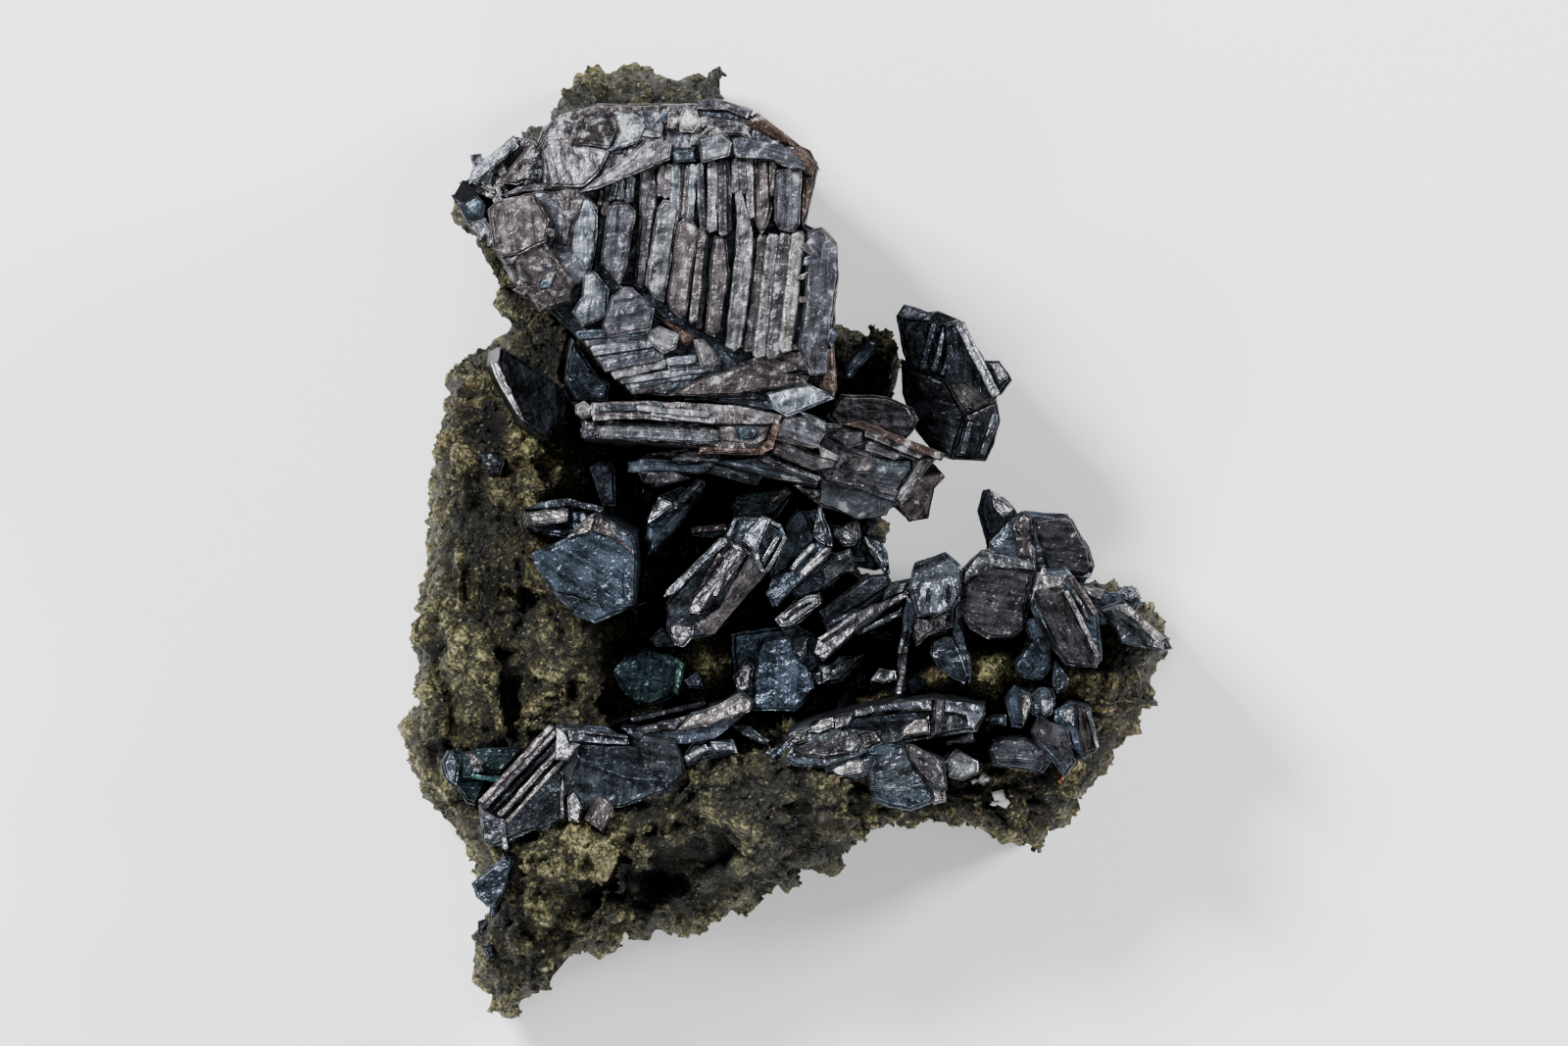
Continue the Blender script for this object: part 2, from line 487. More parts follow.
# a grain's chance of a place: the area there, less where the rock is steep, none near the back
down, across = np.diff(surface, axis=0), (np.roll(surface, -1, 1) - surface)[:-1]
cell_area = np.linalg.norm(np.cross(down, across), axis=2)
level = np.clip(surface_n[:-1, :, 2] * 1.2, STEEP_CHANCE, 1)
chance = cell_area * (surface[:-1, :, 2] > GRAIN_LOWEST) * level
pick = grain_rng.choice(chance.size, GRAINS, p=chance.ravel() / chance.sum())
grain_at = surface[:-1].reshape(-1, 3)[pick]
grain_size = grain_rng.gamma(6, 0.028, (GRAINS, 1)) * grain_rng.uniform(0.6, 1.3, (GRAINS, 3))
grain_axes = random_axes(GRAINS)
grain_lift = np.clip(lift[:-1].ravel()[pick] + grain_rng.uniform(-0.3, 0.3, GRAINS), 0, 1)
grains = blocks(grain_at, np.minimum(grain_size, GRAIN_MAX), grain_axes, rock_mat, "rock_grains",
                {"lift": grain_lift, **rock_zones(grain_at)})


# Bits: a few small white and orange bits of other minerals, stuck fast in the rock of the right lobe
# and in the hollow.
WHITE_BITS = [  # place and length
    (12.4, -15.2, .7), (12.8, -15.4, .5), (12.0, -15.3, .4), (13.4, -16.4, .9), (13.8, -16.7, .7),
    (13.2, -16.8, .5),
]
ORANGE_BITS = [(5.6, -9.0, .3), (5.4, -9.2, .25), (17.6, -15.4, .3), (17.4, -15.6, .25), (-9.6, -1.0, .2)]
BIT_SHAPE = [1, .8, .7]  # its three sides as shares of its length
BIT_RISE = [0, 0, .15]   # its middle above the rock


def bit_material():
    """Mottled white where the attribute pale is 1, orange where it is 0."""
    mat, start, mm = new_material("bits")
    colour = start.attribute("pale").mix((0.30, 0.10, 0.03, 1), (0.62, 0.62, 0.60, 1))
    mottled = (mm.noise(3.0, 3, 0.7) * 0.8 + 0.5).scale(colour)
    finish_shader(start, mottled, 0.5, 0.0, mm.noise(5.0, 3, 0.7), 0.15)
    return mat


bit_table = np.array(WHITE_BITS + ORANGE_BITS)
pale = np.arange(len(bit_table)) < len(WHITE_BITS)
front = surface[:-GRID[2]]
near = [np.argmin(((front - [x, y, 0])[..., :2] ** 2).sum(2)) for x, y, _ in bit_table]
bits = blocks(front.reshape(-1, 3)[near] + BIT_RISE, bit_table[:, 2:] * BIT_SHAPE,
              random_axes(len(bit_table)), bit_material(), "bits", {"pale": pale.astype(float)})


# Crown: the largest crystals, a flat body with a wing on its left, a bar below it and a boxy crystal at
# the bar's end, all grown together. They are a dark copper sulfide with a metallic skin of plates and
# laths, and they are fast in the rock behind them.
Z_BODY = 20.4           # level of the flat body, under its plates
BODY_STEP = 0.15        # by which the body's lower part stands above the upper
CROWN_ROOT = 7.6        # height at which the crown ends inside the rock
PLATE_ROOT = 18.6       # height at which the crown's plates end inside its body
CROWN_FLAKE = 0.8       # flakiness of the crown's plates, at which the patches of their skin lie level
DOME_FLAKE = 0.9        # flakiness of the plates that reach above DOME_Y, on the rough dome
DOME_Y = 26
POINT_STEP = 0.28       # spacing of points along a crystal's edges
BEND = 0.10             # most that a crystal's face bows at its middle
CREASE = math.radians(28)  # above this angle an edge is sharp
SILVER_SKIN = (0.27, 0.27, 0.29, 1)
GAP_BLACK = (0.003, 0.003, 0.0035, 1)
TINTS = {  # colour of a face and of its worn edge
    "violet": ((0.050, 0.047, 0.054), (0.155, 0.138, 0.138)),
    "silver": ((0.110, 0.112, 0.124), (0.330, 0.330, 0.350)),
    "blue": ((0.033, 0.040, 0.052), (0.120, 0.145, 0.170)),
    "brown": ((0.038, 0.036, 0.040), (0.105, 0.088, 0.084)),
    "dark": ((0.018, 0.021, 0.027), (0.085, 0.096, 0.115)),
    "teal": ((0.015, 0.024, 0.028), (0.045, 0.080, 0.088)),
    "jade": ((0.035, 0.078, 0.078), (0.090, 0.160, 0.155)),
    "umber": ((0.050, 0.034, 0.030), (0.120, 0.074, 0.058)),
}

# Here and below, a crystal that the solid has too is given by the corners of its front face (x, y), the
# height z of that face at its middle, its slope along x and y, and how far the back is set off sideways.
CROWN = [
    # flat body, upper and lower part
    ([(-18.4, 18.6), (-18.7, 20.6), (-17, 22.2), (-15.4, 26.2), (-12, 27.6), (-5.5, 27.6), (-2, 26.8),
     (0.2, 24.8), (1.7, 23.8), (1.1, 20), (1, 14), (-13, 13)], Z_BODY, (0, 0), (0, 0)),
    ([(-17.1, 16.4), (-17.5, 18.5), (-10, 20), (1.2, 20), (2.4, 19.4), (3.2, 18.6), (2.9, 11), (2.8, 9.1),
     (0, 8.1), (-1, 8.5), (-9.8, 9.4), (-11.8, 11.3), (-15.4, 14.8)], Z_BODY + BODY_STEP, (0, 0), (0, 0)),
    # blades of the left wing
    ([(-20.9, 22.7), (-20.4, 22.8), (-17.2, 25.6), (-15.4, 25.1), (-15.6, 22.6), (-18.2, 21.4),
     (-19.5, 21.9)], 18.2, (0.15, -0.1), (0, 0)),
    ([(-21.4, 21.9), (-20.6, 22.1), (-19.6, 22), (-18.4, 20.2), (-19.3, 19.2), (-20.2, 19.9)], 17.2,
     (0.2, 0), (0, 0)),
    # bar under the crown with its end blocks and the plates below it
    ([(-13.1, 8.5), (-12.2, 8.6), (-8.8, 8.6), (-1.5, 8.2), (-0.5, 7.7), (-0.8, 6.2), (-1.7, 5.5),
     (-5.2, 5.8), (-12.3, 6.5), (-13, 6.6)], 21.3, (0.02, -0.25), (0.1, -0.9)),
    ([(-10, 4.9), (-9, 5.4), (-5.4, 5.9), (-1.6, 5.4), (2, 3.9), (1.6, 3.4), (-1.5, 4), (-5, 4.3),
     (-10, 4.4)], 18.2, (0.02, 0.1), (0, -0.3)),
    ([(-9.7, 4.5), (-7, 4.5), (-6.1, 3.9), (-8.3, 3.3), (-9.2, 3.6)], 15.6, (0, 0.2), (0, 0.5)),
    ([(-0.3, 7.9), (1, 8), (2.4, 7.4), (2.4, 6.8), (2, 6), (1.7, 5.7), (-0.8, 6.3), (-0.7, 7.2)], 21.6,
     (-0.1, -0.1), (0, 0)),
    ([(-0.6, 6.3), (0.2, 6.3), (3, 4.9), (3, 4.4), (1.6, 4.4), (-1, 5.5)], 21.0, (-0.15, -0.1), (0, 0)),
    ([(-1.7, 5.4), (-1.2, 5.5), (2.1, 4), (1.8, 3.4), (-1.9, 4.9)], 20.0, (-0.1, 0), (0, 0)),
    # boxy crystal on the right
    ([(2.4, 7.4), (4.8, 7.2), (9.6, 5.3), (7.1, 2.5), (4.8, 3.2), (2.2, 3.6), (1.6, 5)], 19.2,
     (-0.08, -0.05), (-0.2, -0.4)),
    ([(0.3, 3.5), (4.8, 3.4), (7.8, 3.3), (7, 2.1), (4.8, 1.3), (2.3, 2)], 16.5, (-0.05, 0.2), (0, 0.6)),
    # dark ragged crystal and rounded plate behind the box
    ([(7, 2.2), (8.2, 4), (9.9, 4.3), (10.1, 4), (9.4, 3.2), (9, 1.3), (7.8, 1.1)], 13.5, (0, 0.1),
     (-1, 1)),
    ([(3.4, 9.2), (5.2, 9.2), (6.3, 9.1), (8, 8.4), (8.4, 7.6), (8, 6.8), (7.5, 6.3), (4, 6.5), (2.5, 7.8)],
     15.5, (-0.05, 0.2), (0, 0)),
]

# Here and below, what only the look has is given by tint, height, slope and corners. Four numbers and a
# width make a lath, and a number after the corners is the width of the rim round a hollow.
CROWN_LOOK = [
    ("violet", 22.9, (.01, -.02), [(-18.9, 20.9), (-18.4, 21.4), (-16.4, 21.9), (-16, 21.8), (-15.1, 20.3),
     (-15.3, 18.9), (-17, 18.1), (-18.1, 17.9), (-18.6, 18.4)]),
    ("violet", 22.5, (.02, 0), [(-17.2, 18.2), (-15.4, 18.9), (-13.6, 16.4), (-13.7, 15.1), (-15.6, 14.5),
     (-16.8, 16.2), (-17.3, 17.6)]),
    ("violet", 21.7, (0, 0), [(-18, 17.4), (-17.2, 17.6), (-16.6, 16.2), (-17.1, 15.9)]),
    ("violet", 22.0, (0, -.1), [(-14.7, 22.1), (-13.1, 22.5), (-12.8, 22), (-13.1, 20.8), (-13.7, 20.2),
     (-14, 18.7), (-14.3, 18.8), (-14.2, 20.5)]),
    ("blue", 21.2, (0, 0), [(-15.3, 22.2), (-14.7, 22), (-14.1, 20.4), (-14.3, 19.6)]),
    ("silver", 21.9, (0, 0), [(-12.9, 21.7), (-12.6, 21.6), (-12.1, 20.5), (-12.2, 18.3), (-12.5, 17.2),
     (-12.8, 17.1), (-13.6, 18.4), (-13.4, 20.2)]),
    ("brown", 22.9, (0, 0), [(-11.3, 21.1), (-10.9, 21.4), (-10.2, 21.4), (-9.6, 20.8), (-9.9, 19),
     (-10.2, 17.3), (-10.6, 16.2), (-11.8, 17.5), (-11.5, 20)]),
    ("silver", 22.3, (0, -.05), [(-12.9, 16.8), (-12.2, 17), (-11.3, 15.9), (-11.4, 14.1), (-12.9, 13.5),
     (-13.6, 14.5), (-13, 15.4)]),
    ("violet", 23.2, (0, 0), [(-11.1, 15.4), (-10.3, 16), (-9.8, 15.9), (-8.4, 14.6), (-8.7, 13.3),
     (-11.2, 12.8), (-11.7, 13.5)]),
    ("silver", 22.7, (-.1, 0), [(-8.9, 13.2), (-8.1, 13.5), (-6.9, 13), (-7.1, 12.1), (-7.9, 11.8),
     (-8.6, 12.3)]),
    ("umber", 21.9, (-.2, .2), [(-8, 14), (-5.9, 12.9), (-6.3, 12.1), (-7, 12.9)]),
    ("silver", 22.4, (0, 0), [(-5.9, 12.6), (-5.3, 12.6), (-4.2, 11.4), (-4.6, 11), (-5.4, 10.9)]),
    ("violet", 22.3, (0, -.1), [(-7.4, 9.15), (-5.6, 10.1), (-3.4, 10.75), (-2.4, 11.2), (-1, 10.6),
     (1.35, 10.3), (1.1, 9.95), (-3.2, 9.2)]),
    ("silver", 21.9, (0, -.2), [(-1.3, 9.3), (1.2, 9.9), (2.4, 9.4), (2.9, 8.9), (0, 7.8), (-.9, 8.3)]),
    ("umber", 22.0, (-.3, 0), [(2.3, 13), (2.9, 12.4), (3.1, 9.6), (2.9, 9.1), (2.2, 9.7)]),
    ("violet", 21.8, (0, 0), [(-2.4, 11.3), (-.5, 12), (1.2, 11.9), (2.4, 10.6), (0, 10.5)]),
    # faces under the plates
    ("violet", 21.6, (0, -.1), [(-15.4, 22.3), (-15.6, 25), (-14.6, 27), (-12, 27.6), (-8, 27.6),
     (-7.6, 24.6), (-12.8, 22)]),
    ("violet", 21.3, (0, -.1), [(-8, 27.5), (-5.5, 27.6), (-2, 26.8), (.2, 24.8), (1.5, 23.9), (-1, 24.2),
     (-8, 24.2)]),
    ("violet", 21.6, (0, 0), [(-18.6, 20.8), (-16, 22), (-13.2, 22.4), (-12, 21), (-12.3, 17), (-15, 14.6),
     (-17.2, 16.4), (-18.6, 18.5)]),
    ("blue", 21.2, (0, -.05), [(-13.6, 14.5), (-8, 14.2), (-3, 11.2), (1.2, 10), (2.8, 9), (0, 8), (-6, 9),
     (-9.9, 9.4), (-12, 11.4)]),
    # laths of the lower left sector, rising to the right
    ("blue", 22.2, (0, 0), (-13.3, 12.95, -8.7, 13.25, .35)),
    ("violet", 22.0, (0, 0), (-12.8, 12.45, -8.7, 12.9, .32)),
    ("silver", 22.1, (0, 0), (-12.4, 11.95, -8.5, 12.5, .42)),
    ("blue", 21.9, (0, 0), (-12, 11.4, -8.2, 12.05, .32)),
    ("violet", 22.1, (0, 0), (-11.7, 10.95, -7.9, 11.7, .45)),
    ("silver", 21.9, (0, 0), (-11.1, 10.45, -7.7, 11.2, .4)),
    ("silver", 22.0, (0, 0), (-7.6, 11.25, -5.8, 11.5, .32)),
    ("blue", 21.7, (0, 0), (-7.5, 10.85, -4.3, 11.25, .26)),
    ("silver", 21.6, (0, 0), (-10.6, 10.05, -4.6, 10.95, .26)),
    ("blue", 21.4, (0, 0), (-10.2, 9.7, -5.5, 10.5, .24)),
    ("violet", 21.3, (0, 0), (-9.9, 9.35, -7.4, 9.8, .22)),
    ("blue", 21.5, (0, -.2), (-6.5, 9.0, -1.5, 9.1, .2)),
    # upright laths, left to right
    ("violet", 21.3, (0, 0), (-11.9, 21.2, -11.75, 22.1, .24)),
    ("violet", 21.4, (0, 0), (-11.6, 20.6, -11.35, 22.3, .24)),
    ("violet", 21.5, (0, 0), (-11.1, 21.5, -10.95, 22.6, .24)),
    ("silver", 21.5, (0, 0), (-10.55, 21.5, -10.5, 22.85, .36)),
    ("violet", 21.6, (0, 0), (-10.05, 21.4, -9.9, 23, .36)),
    ("blue", 20.9, (0, 0), (-12, 18.2, -11.8, 20.5, .22)),
    ("violet", 21.5, (0, 0), [(-9.3, 23.3), (-8.35, 23.6), (-8.25, 21.8), (-9.05, 16.3), (-9.3, 16),
     (-9.65, 16.2), (-9.3, 20)]),
    ("silver", 21.9, (.02, 0), [(-8.15, 21), (-7.8, 21.5), (-7.2, 21.4), (-6.95, 20.8), (-7.5, 17),
     (-7.85, 15.1), (-8.3, 15.3), (-8.95, 16.2), (-8.85, 17)]),
    ("violet", 21.7, (0, 0), (-8.05, 21.8, -7.9, 23.7, .3)),
    ("violet", 21.8, (0, 0), (-7.65, 21.7, -7.45, 23.8, .3)),
    ("violet", 22.1, (0, 0), [(-6.9, 20), (-6.5, 20.3), (-6, 20.1), (-5.6, 19.5), (-6.1, 17), (-6.45, 14.2),
     (-6.75, 14.05), (-7.35, 14.6), (-7.55, 15.2), (-7.25, 17)]),
    ("silver", 21.8, (0, 0), (-7.15, 20.9, -7, 23.9, .34)),
    ("violet", 21.5, (0, 0), (-6.9, 20.3, -6.7, 23.8, .2)),
    ("violet", 21.6, (0, 0), (-6.5, 20.4, -6.25, 23.8, .24)),
    ("silver", 21.8, (0, 0), (-6.15, 20.2, -5.95, 23.75, .28)),
    ("violet", 21.8, (0, 0), (-5.95, 13.8, -5.35, 19.8, .34)),
    ("violet", 21.8, (0, 0), (-5.35, 19.9, -5.55, 23.8, .3)),
    ("blue", 21.4, (0, 0), (-5.6, 13.4, -5.05, 19.4, .2)),
    ("silver", 22.0, (0, 0), (-4.75, 19.5, -4.7, 23.9, .44)),
    ("violet", 22.0, (0, 0), [(-4.55, 19.2), (-3.9, 19), (-3.68, 17), (-4.2, 13.3), (-4.6, 12.85),
     (-5.15, 13.1), (-4.82, 17)]),
    ("violet", 22.1, (0, 0), (-4.05, 19.3, -4.15, 24, .32)),
    ("blue", 21.8, (0, 0), (-3.7, 19.6, -3.8, 24, .22)),
    ("silver", 22.4, (0, 0), [(-3.2, 21.9), (-2.9, 22.1), (-2.45, 20.3), (-2.2, 19.5), (-2.28, 17),
     (-3, 12.2), (-3.35, 12), (-3.85, 12.3), (-3.32, 17), (-3.12, 20)]),
    ("violet", 22.2, (0, 0), (-3.3, 22, -3.25, 24.1, .3)),
    ("violet", 22.3, (0, 0), (-2.75, 21.9, -2.85, 24.1, .26)),
    ("silver", 22.2, (0, 0), (-2.3, 20.4, -2.42, 24.1, .26)),
    ("violet", 21.9, (0, 0), (-1.95, 20.3, -2.08, 24.1, .2)),
    ("violet", 22.2, (0, 0), [(-1.75, 24.05), (-1.3, 24.1), (-1, 21), (-1.2, 20.1), (-1.6, 19.4),
     (-1.9, 20)]),
    ("violet", 22.0, (0, 0), (-1.0, 21.8, -.9, 24, .22)),
    ("violet", 21.4, (0, 0), (-2.95, 12.2, -2.05, 19.1, .3)),
    ("violet", 21.9, (0, 0), (-2.45, 11.9, -1.5, 19.3, .5)),
    ("silver", 22.1, (0, 0), (-1.75, 11.5, -.85, 19.3, .6)),
    ("violet", 22.3, (0, 0), (-.95, 11.4, -.08, 19.4, .66)),
    ("silver", 22.4, (0, 0), (-.1, 11.9, .72, 19.5, .62)), ("blue", 21.7, (0, 0), (.5, 12, 1.2, 19.3, .34)),
    ("violet", 22.8, (-.05, 0), [(1.4, 19.5), (2.2, 19.7), (3.1, 18.7), (3.2, 16.5), (2.8, 14), (2.5, 10.5),
     (1.5, 10.5), (.8, 12.1), (1.15, 15)]),
    ("violet", 22.7, (0, 0), [(-.65, 23.4), (.9, 23.4), (.8, 20), (.4, 19.5), (-.5, 19.7), (-.8, 20.3)]),
    ("umber", 22.0, (-.3, 0), [(1, 23.6), (1.9, 23.6), (1.3, 20.8), (1, 19.9), (.85, 20.4)]),
    # band over the laths and blocks in it
    ("silver", 22.7, (0, -.05), [(-12.9, 22.1), (-10.1, 24.2), (-9, 25.3), (-8.1, 25.2), (-7.4, 25),
     (-7.5, 24.1), (-10, 23.1), (-12, 22.3)]),
    ("blue", 22.3, (0, 0), [(-7.2, 24.8), (-5.8, 24.9), (-5.8, 24), (-7.2, 23.95)]),
    ("silver", 23.0, (0, 0), [(-5.6, 25.4), (-4.2, 25.8), (-3.5, 25.1), (-3.7, 24.3), (-5.4, 23.9)]),
    ("violet", 22.9, (0, -.05), [(-3.4, 25.3), (-2.8, 25.5), (.2, 24.7), (1.2, 23.5), (.2, 23.5),
     (-.9, 24.1), (-3.2, 24.2)]),
    ("umber", 22.6, (-.1, 0), [(0, 24.6), (.9, 24.9), (1.9, 23.9), (1.6, 23.1), (1.1, 23.3)]),
    # rough dome above the band
    ("silver", 22.0, (.05, -.2), [(-15.5, 24.6), (-14.9, 22.4), (-12.9, 22.4), (-12, 23.2), (-11.3, 24.6),
     (-13.4, 25), (-15, 25.2)]),
    ("violet", 21.5, (.1, -.35), [(-15.4, 25.2), (-13.7, 25.2), (-13.1, 26.2), (-13.5, 27.3),
     (-14.4, 26.9)]),
    ("violet", 21.7, (-.1, -.3), [(-13.5, 25.1), (-11.3, 24.8), (-10.7, 25.9), (-11.4, 27.1), (-13.2, 27.3),
     (-12.9, 26.2)]),
    ("silver", 21.8, (.1, -.3), [(-11.1, 24.7), (-9.4, 25.2), (-8.9, 26.2), (-9.8, 27.3), (-11.2, 27.2),
     (-10.5, 25.9)]),
    ("violet", 21.6, (0, -.3), [(-9.2, 25.6), (-8, 25.6), (-7.8, 26.8), (-8.6, 27.3), (-9.5, 27.2),
     (-8.8, 26.2)]),
    ("violet", 21.8, (.2, -.2), [(-7.7, 26), (-7.1, 25.9), (-6.8, 26.6), (-7.1, 27.3), (-7.6, 27.2)]),
    ("silver", 21.9, (.2, -.2), [(-6.8, 25.9), (-6, 25.8), (-5.5, 26.4), (-5.7, 27.1), (-6.5, 27.4),
     (-6.8, 26.7)]),
    ("violet", 21.7, (0, -.15), [(-5.3, 25.6), (-2.6, 25.7), (-2.2, 26.3), (-3.6, 26.7), (-5.1, 26.6)]),
    ("umber", 21.6, (-.2, -.3), [(-2.5, 26.4), (-.6, 25.3), (1.4, 24.6), (1.7, 24), (.7, 25), (-1.9, 27)]),
    ("violet", 21.5, (0, -.4), [(-5.6, 27.8), (-4.4, 27.9), (-2.3, 27.2), (-2.5, 26.8), (-4, 27.3),
     (-5.6, 27.3)]),
    ("dark", 21.2, (0, -.2), [(-5.6, 27.4), (-4, 27.4), (-3.2, 27), (-3.6, 26.6), (-5.4, 26.8)]),
    # wing on the left
    ("silver", 19.2, (.1, -.2), [(-20.1, 22.7), (-19.4, 23), (-17.1, 25), (-17.4, 25.6), (-20, 23.4)]),
    ("violet", 20.2, (.05, -.1), [(-18.3, 22.6), (-16.9, 24.4), (-16, 25.3), (-15.7, 24.8), (-15.7, 23.2),
     (-17.2, 22.5)]),
    ("violet", 20.9, (0, 0), [(-17.8, 21.9), (-17, 22.3), (-15.2, 22.6), (-15.1, 22.2), (-16.6, 22)]),
    ("dark", 18.4, (0, 0), [(-21.2, 21.8), (-20.6, 22.8), (-20, 22.7), (-19.8, 22), (-20.6, 21.4)]),
    ("blue", 18.6, (.1, .1), [(-20.8, 21.2), (-19.7, 21.9), (-19.2, 21.2), (-19.4, 20.2), (-20.3, 20.3)]),
    ("silver", 19.0, (.1, -.1), [(-20, 20.1), (-19.2, 20.4), (-18.8, 19.6), (-19.5, 19)]),
    ("silver", 19.6, (0, 0), [(-19.1, 19.6), (-18.6, 19.8), (-18.6, 18.8), (-19, 18.6)]),
    # bar below the crown
    ("violet", 21.9, (0, -.25), [(-12.3, 8.6), (-8.8, 8.7), (-3, 8.4), (-.4, 7.8), (-.6, 7.4), (-4.6, 7.45),
     (-10.3, 7.75), (-12.2, 7.6)]),
    ("silver", 22.3, (0, -.2), (-9.5, 8.35, -5, 7.9, .2)),
    ("silver", 22.2, (0, -.2), (-8.6, 8.05, -4.6, 7.55, .24)),
    ("silver", 22.2, (0, -.1), [(-6.5, 7.9), (-4.8, 7.75), (-4.5, 7.4), (-6, 7.55)]),
    ("blue", 22.1, (0, -.2), (-12, 8.3, -8, 8.5, .2)),
    ("silver", 21.8, (0, -.1), [(-13.4, 8.5), (-12.9, 8.75), (-12.4, 8.4), (-12.3, 7.9), (-13, 7.7),
     (-13.4, 8)]),
    ("violet", 21.5, (0, 0), [(-13.1, 7), (-12.25, 7), (-12.25, 6.45), (-13, 6.5)]),
    ("dark", 21.3, (0, 0), (-10.5, 7.3, -4.9, 7.1, .22)),
    ("silver", 21.9, (0, -.15), [(-11.9, 7.1), (-9.8, 7.1), (-5, 6.75), (-4.4, 6.35), (-4.7, 6.15),
     (-11.9, 6.5)]),
    ("violet", 21.8, (0, -.1), [(-4.5, 7.3), (-1, 7.3), (-1.2, 6.2), (-2, 5.9), (-4.2, 6.2)]),
    ("blue", 22.0, (0, -.1), [(-3.2, 7.2), (-2.3, 7.3), (-1.8, 6.8), (-2.2, 6.3), (-3.1, 6.3)], .25),
    ("umber", 21.9, (0, -.3), [(-5.5, 5.85), (-1.7, 5.8), (-1.6, 5.45), (-5.6, 5.5)]),
    ("umber", 22.0, (-.2, 0), [(-1.7, 5.8), (-1.2, 6.1), (-.8, 7.3), (-.45, 7.3), (-.95, 5.8),
     (-1.6, 5.45)]),
    ("silver", 19.8, (0, -.3), [(-7, 5.3), (-5.6, 5.6), (-4.6, 5.1), (-5.2, 5), (-7.2, 5.05)]),
    ("blue", 18.9, (0, .1), [(-10, 4.9), (-8.9, 5.2), (-7.2, 5), (-4.6, 4.9), (-5, 4.3), (-10, 4.35)]),
    ("blue", 18.6, (0, .2), [(-4.6, 4.9), (-1.6, 4), (-2, 3.5), (-5, 4.3)]),
    ("blue", 19.6, (0, .1), [(-1.6, 5.2), (2, 3.9), (1.8, 3.5), (-.4, 3.9), (-4.6, 5)]),
    ("silver", 20.1, (.1, -.2), (-1.5, 5.25, 2, 3.85, .16)),
    ("violet", 21.7, (-.05, -.1), [(-.4, 7.3), (.3, 7.9), (1, 7.9), (2.3, 7.4), (2.4, 6.7), (1.9, 5.8),
     (1.5, 5.8), (-.2, 6.4)]),
    ("silver", 21.9, (-.3, -.3), [(1, 8), (1.4, 7.9), (2.4, 7.4), (2.4, 7), (1.8, 7.2)]),
    ("violet", 21.1, (-.1, -.1), [(-.7, 6.2), (-.2, 6.4), (1.7, 5.3), (3, 4.9), (3, 4.5), (1.7, 4.4),
     (-.9, 5.5)]),
    ("silver", 20.9, (-.1, -.1), [(2, 6), (2.9, 5.4), (3.35, 5.3), (3.2, 4.95), (2.2, 5.3)]),
    # box on the right of the bar
    ("umber", 20.4, (-.1, -.1), [(3.9, 7.3), (4.8, 7.4), (9.9, 5.4), (9.7, 5.1), (5, 7)]),
    ("brown", 20.1, (0, 0), [(4.1, 6.9), (4.9, 6.9), (4.8, 6.1), (3.9, 5.8), (2.6, 6.6), (3.5, 7.1)]),
    ("violet", 20.1, (-.1, -.1), (5, 6.75, 8.6, 5.35, .3)),
    ("dark", 19.6, (0, 0), (5.1, 6.2, 8.2, 5.2, .24)), ("violet", 19.9, (0, 0), (5, 5.9, 7, 5.25, .26)),
    ("blue", 19.3, (0, 0), [(3.4, 4.7), (4.3, 5.4), (7.9, 5), (7.9, 4.3), (7, 3), (5, 3.5), (4.8, 4.2)]),
    ("violet", 19.8, (0, 0), [(3.4, 4.6), (4.3, 5.4), (5.6, 5), (5.2, 4.2), (4.4, 4.2)]),
    ("silver", 19.9, (-.2, 0), [(8.6, 5.2), (9.3, 5.1), (7.3, 2.3), (6.9, 2.6)]),
    ("blue", 18.9, (0, -.2), (4.7, 3.4, 6.9, 2.55, .22)),
    ("blue", 17.2, (0, .4), [(2.2, 3.7), (4.8, 3.3), (6.8, 2.4), (6.3, 1.6), (4.6, 1.3), (2.2, 2.5)]),
    ("silver", 17.4, (0, -.2), (2.2, 3.6, 4.8, 3.3, .12)),
    ("silver", 16.9, (0, -.2), (4.6, 1.4, 6.2, 2.4, .14)),
]


def crystal_material():
    """Satin to glossy sulfide: dark tint, paler flaky patches, striations, chipped skin, worn edges."""
    mat, start, mm = new_material("crystal")
    edge, deep, flake = start.attribute("edge"), start.attribute("deep"), start.attribute("flake")
    along = start.result(0, "ShaderNodeVectorMath", {"operation": "MULTIPLY"},
                         i0=start.attribute("grain", "Vector"), i1=(0.25, 4.0, 4.0))
    stria = along.noise(1.0, 3, 0.6)
    relief = mm.noise(1.5, 3, 0.5)
    mottle = mm.noise(1.0, 3, 0.6)
    fine = mm.noise(8.0, 2, 0.75)
    # patches at random levels: sunk on plain crystals, level on the crown's plates, raised on its dome
    chip = mm.patches(1.3) * (flake - CROWN_FLAKE) * 10
    glow = (mottle * 0.95 + stria * 0.7 + fine * 0.12 - 0.46).step(0.18, 0.74)
    colour = ((glow * 1.85 + 0.20) * (fine * 0.4 + 0.80)).scale(start.attribute("tint", "Color"))
    silver = (mottle * 0.9 + fine * 0.06 + chip * 0.06 + flake * 0.2).step(0.725, 0.80) * flake
    colour = (silver * 0.85).mix(colour, SILVER_SKIN)
    worn = (edge * (fine * 0.8 + mottle * 0.9)).step(0.55, 1.0)
    colour = (worn * 0.7).mix(colour, start.attribute("rim", "Color"))
    colour = (deep * 0.8).mix(colour, GAP_BLACK)
    rough = 0.24 + fine * 0.1 + flake * 0.1 + silver * 0.1 + deep * 0.3
    metallic = 0.85 - flake * 0.2 - silver * 0.3
    height = relief * 1.1 + stria * 0.25 + chip * 0.8 + fine * 0.05
    shader = finish_shader(start, colour, rough, metallic, height, 0.2)
    shader.inputs["Specular IOR Level"].default_value = 0.3
    return mat


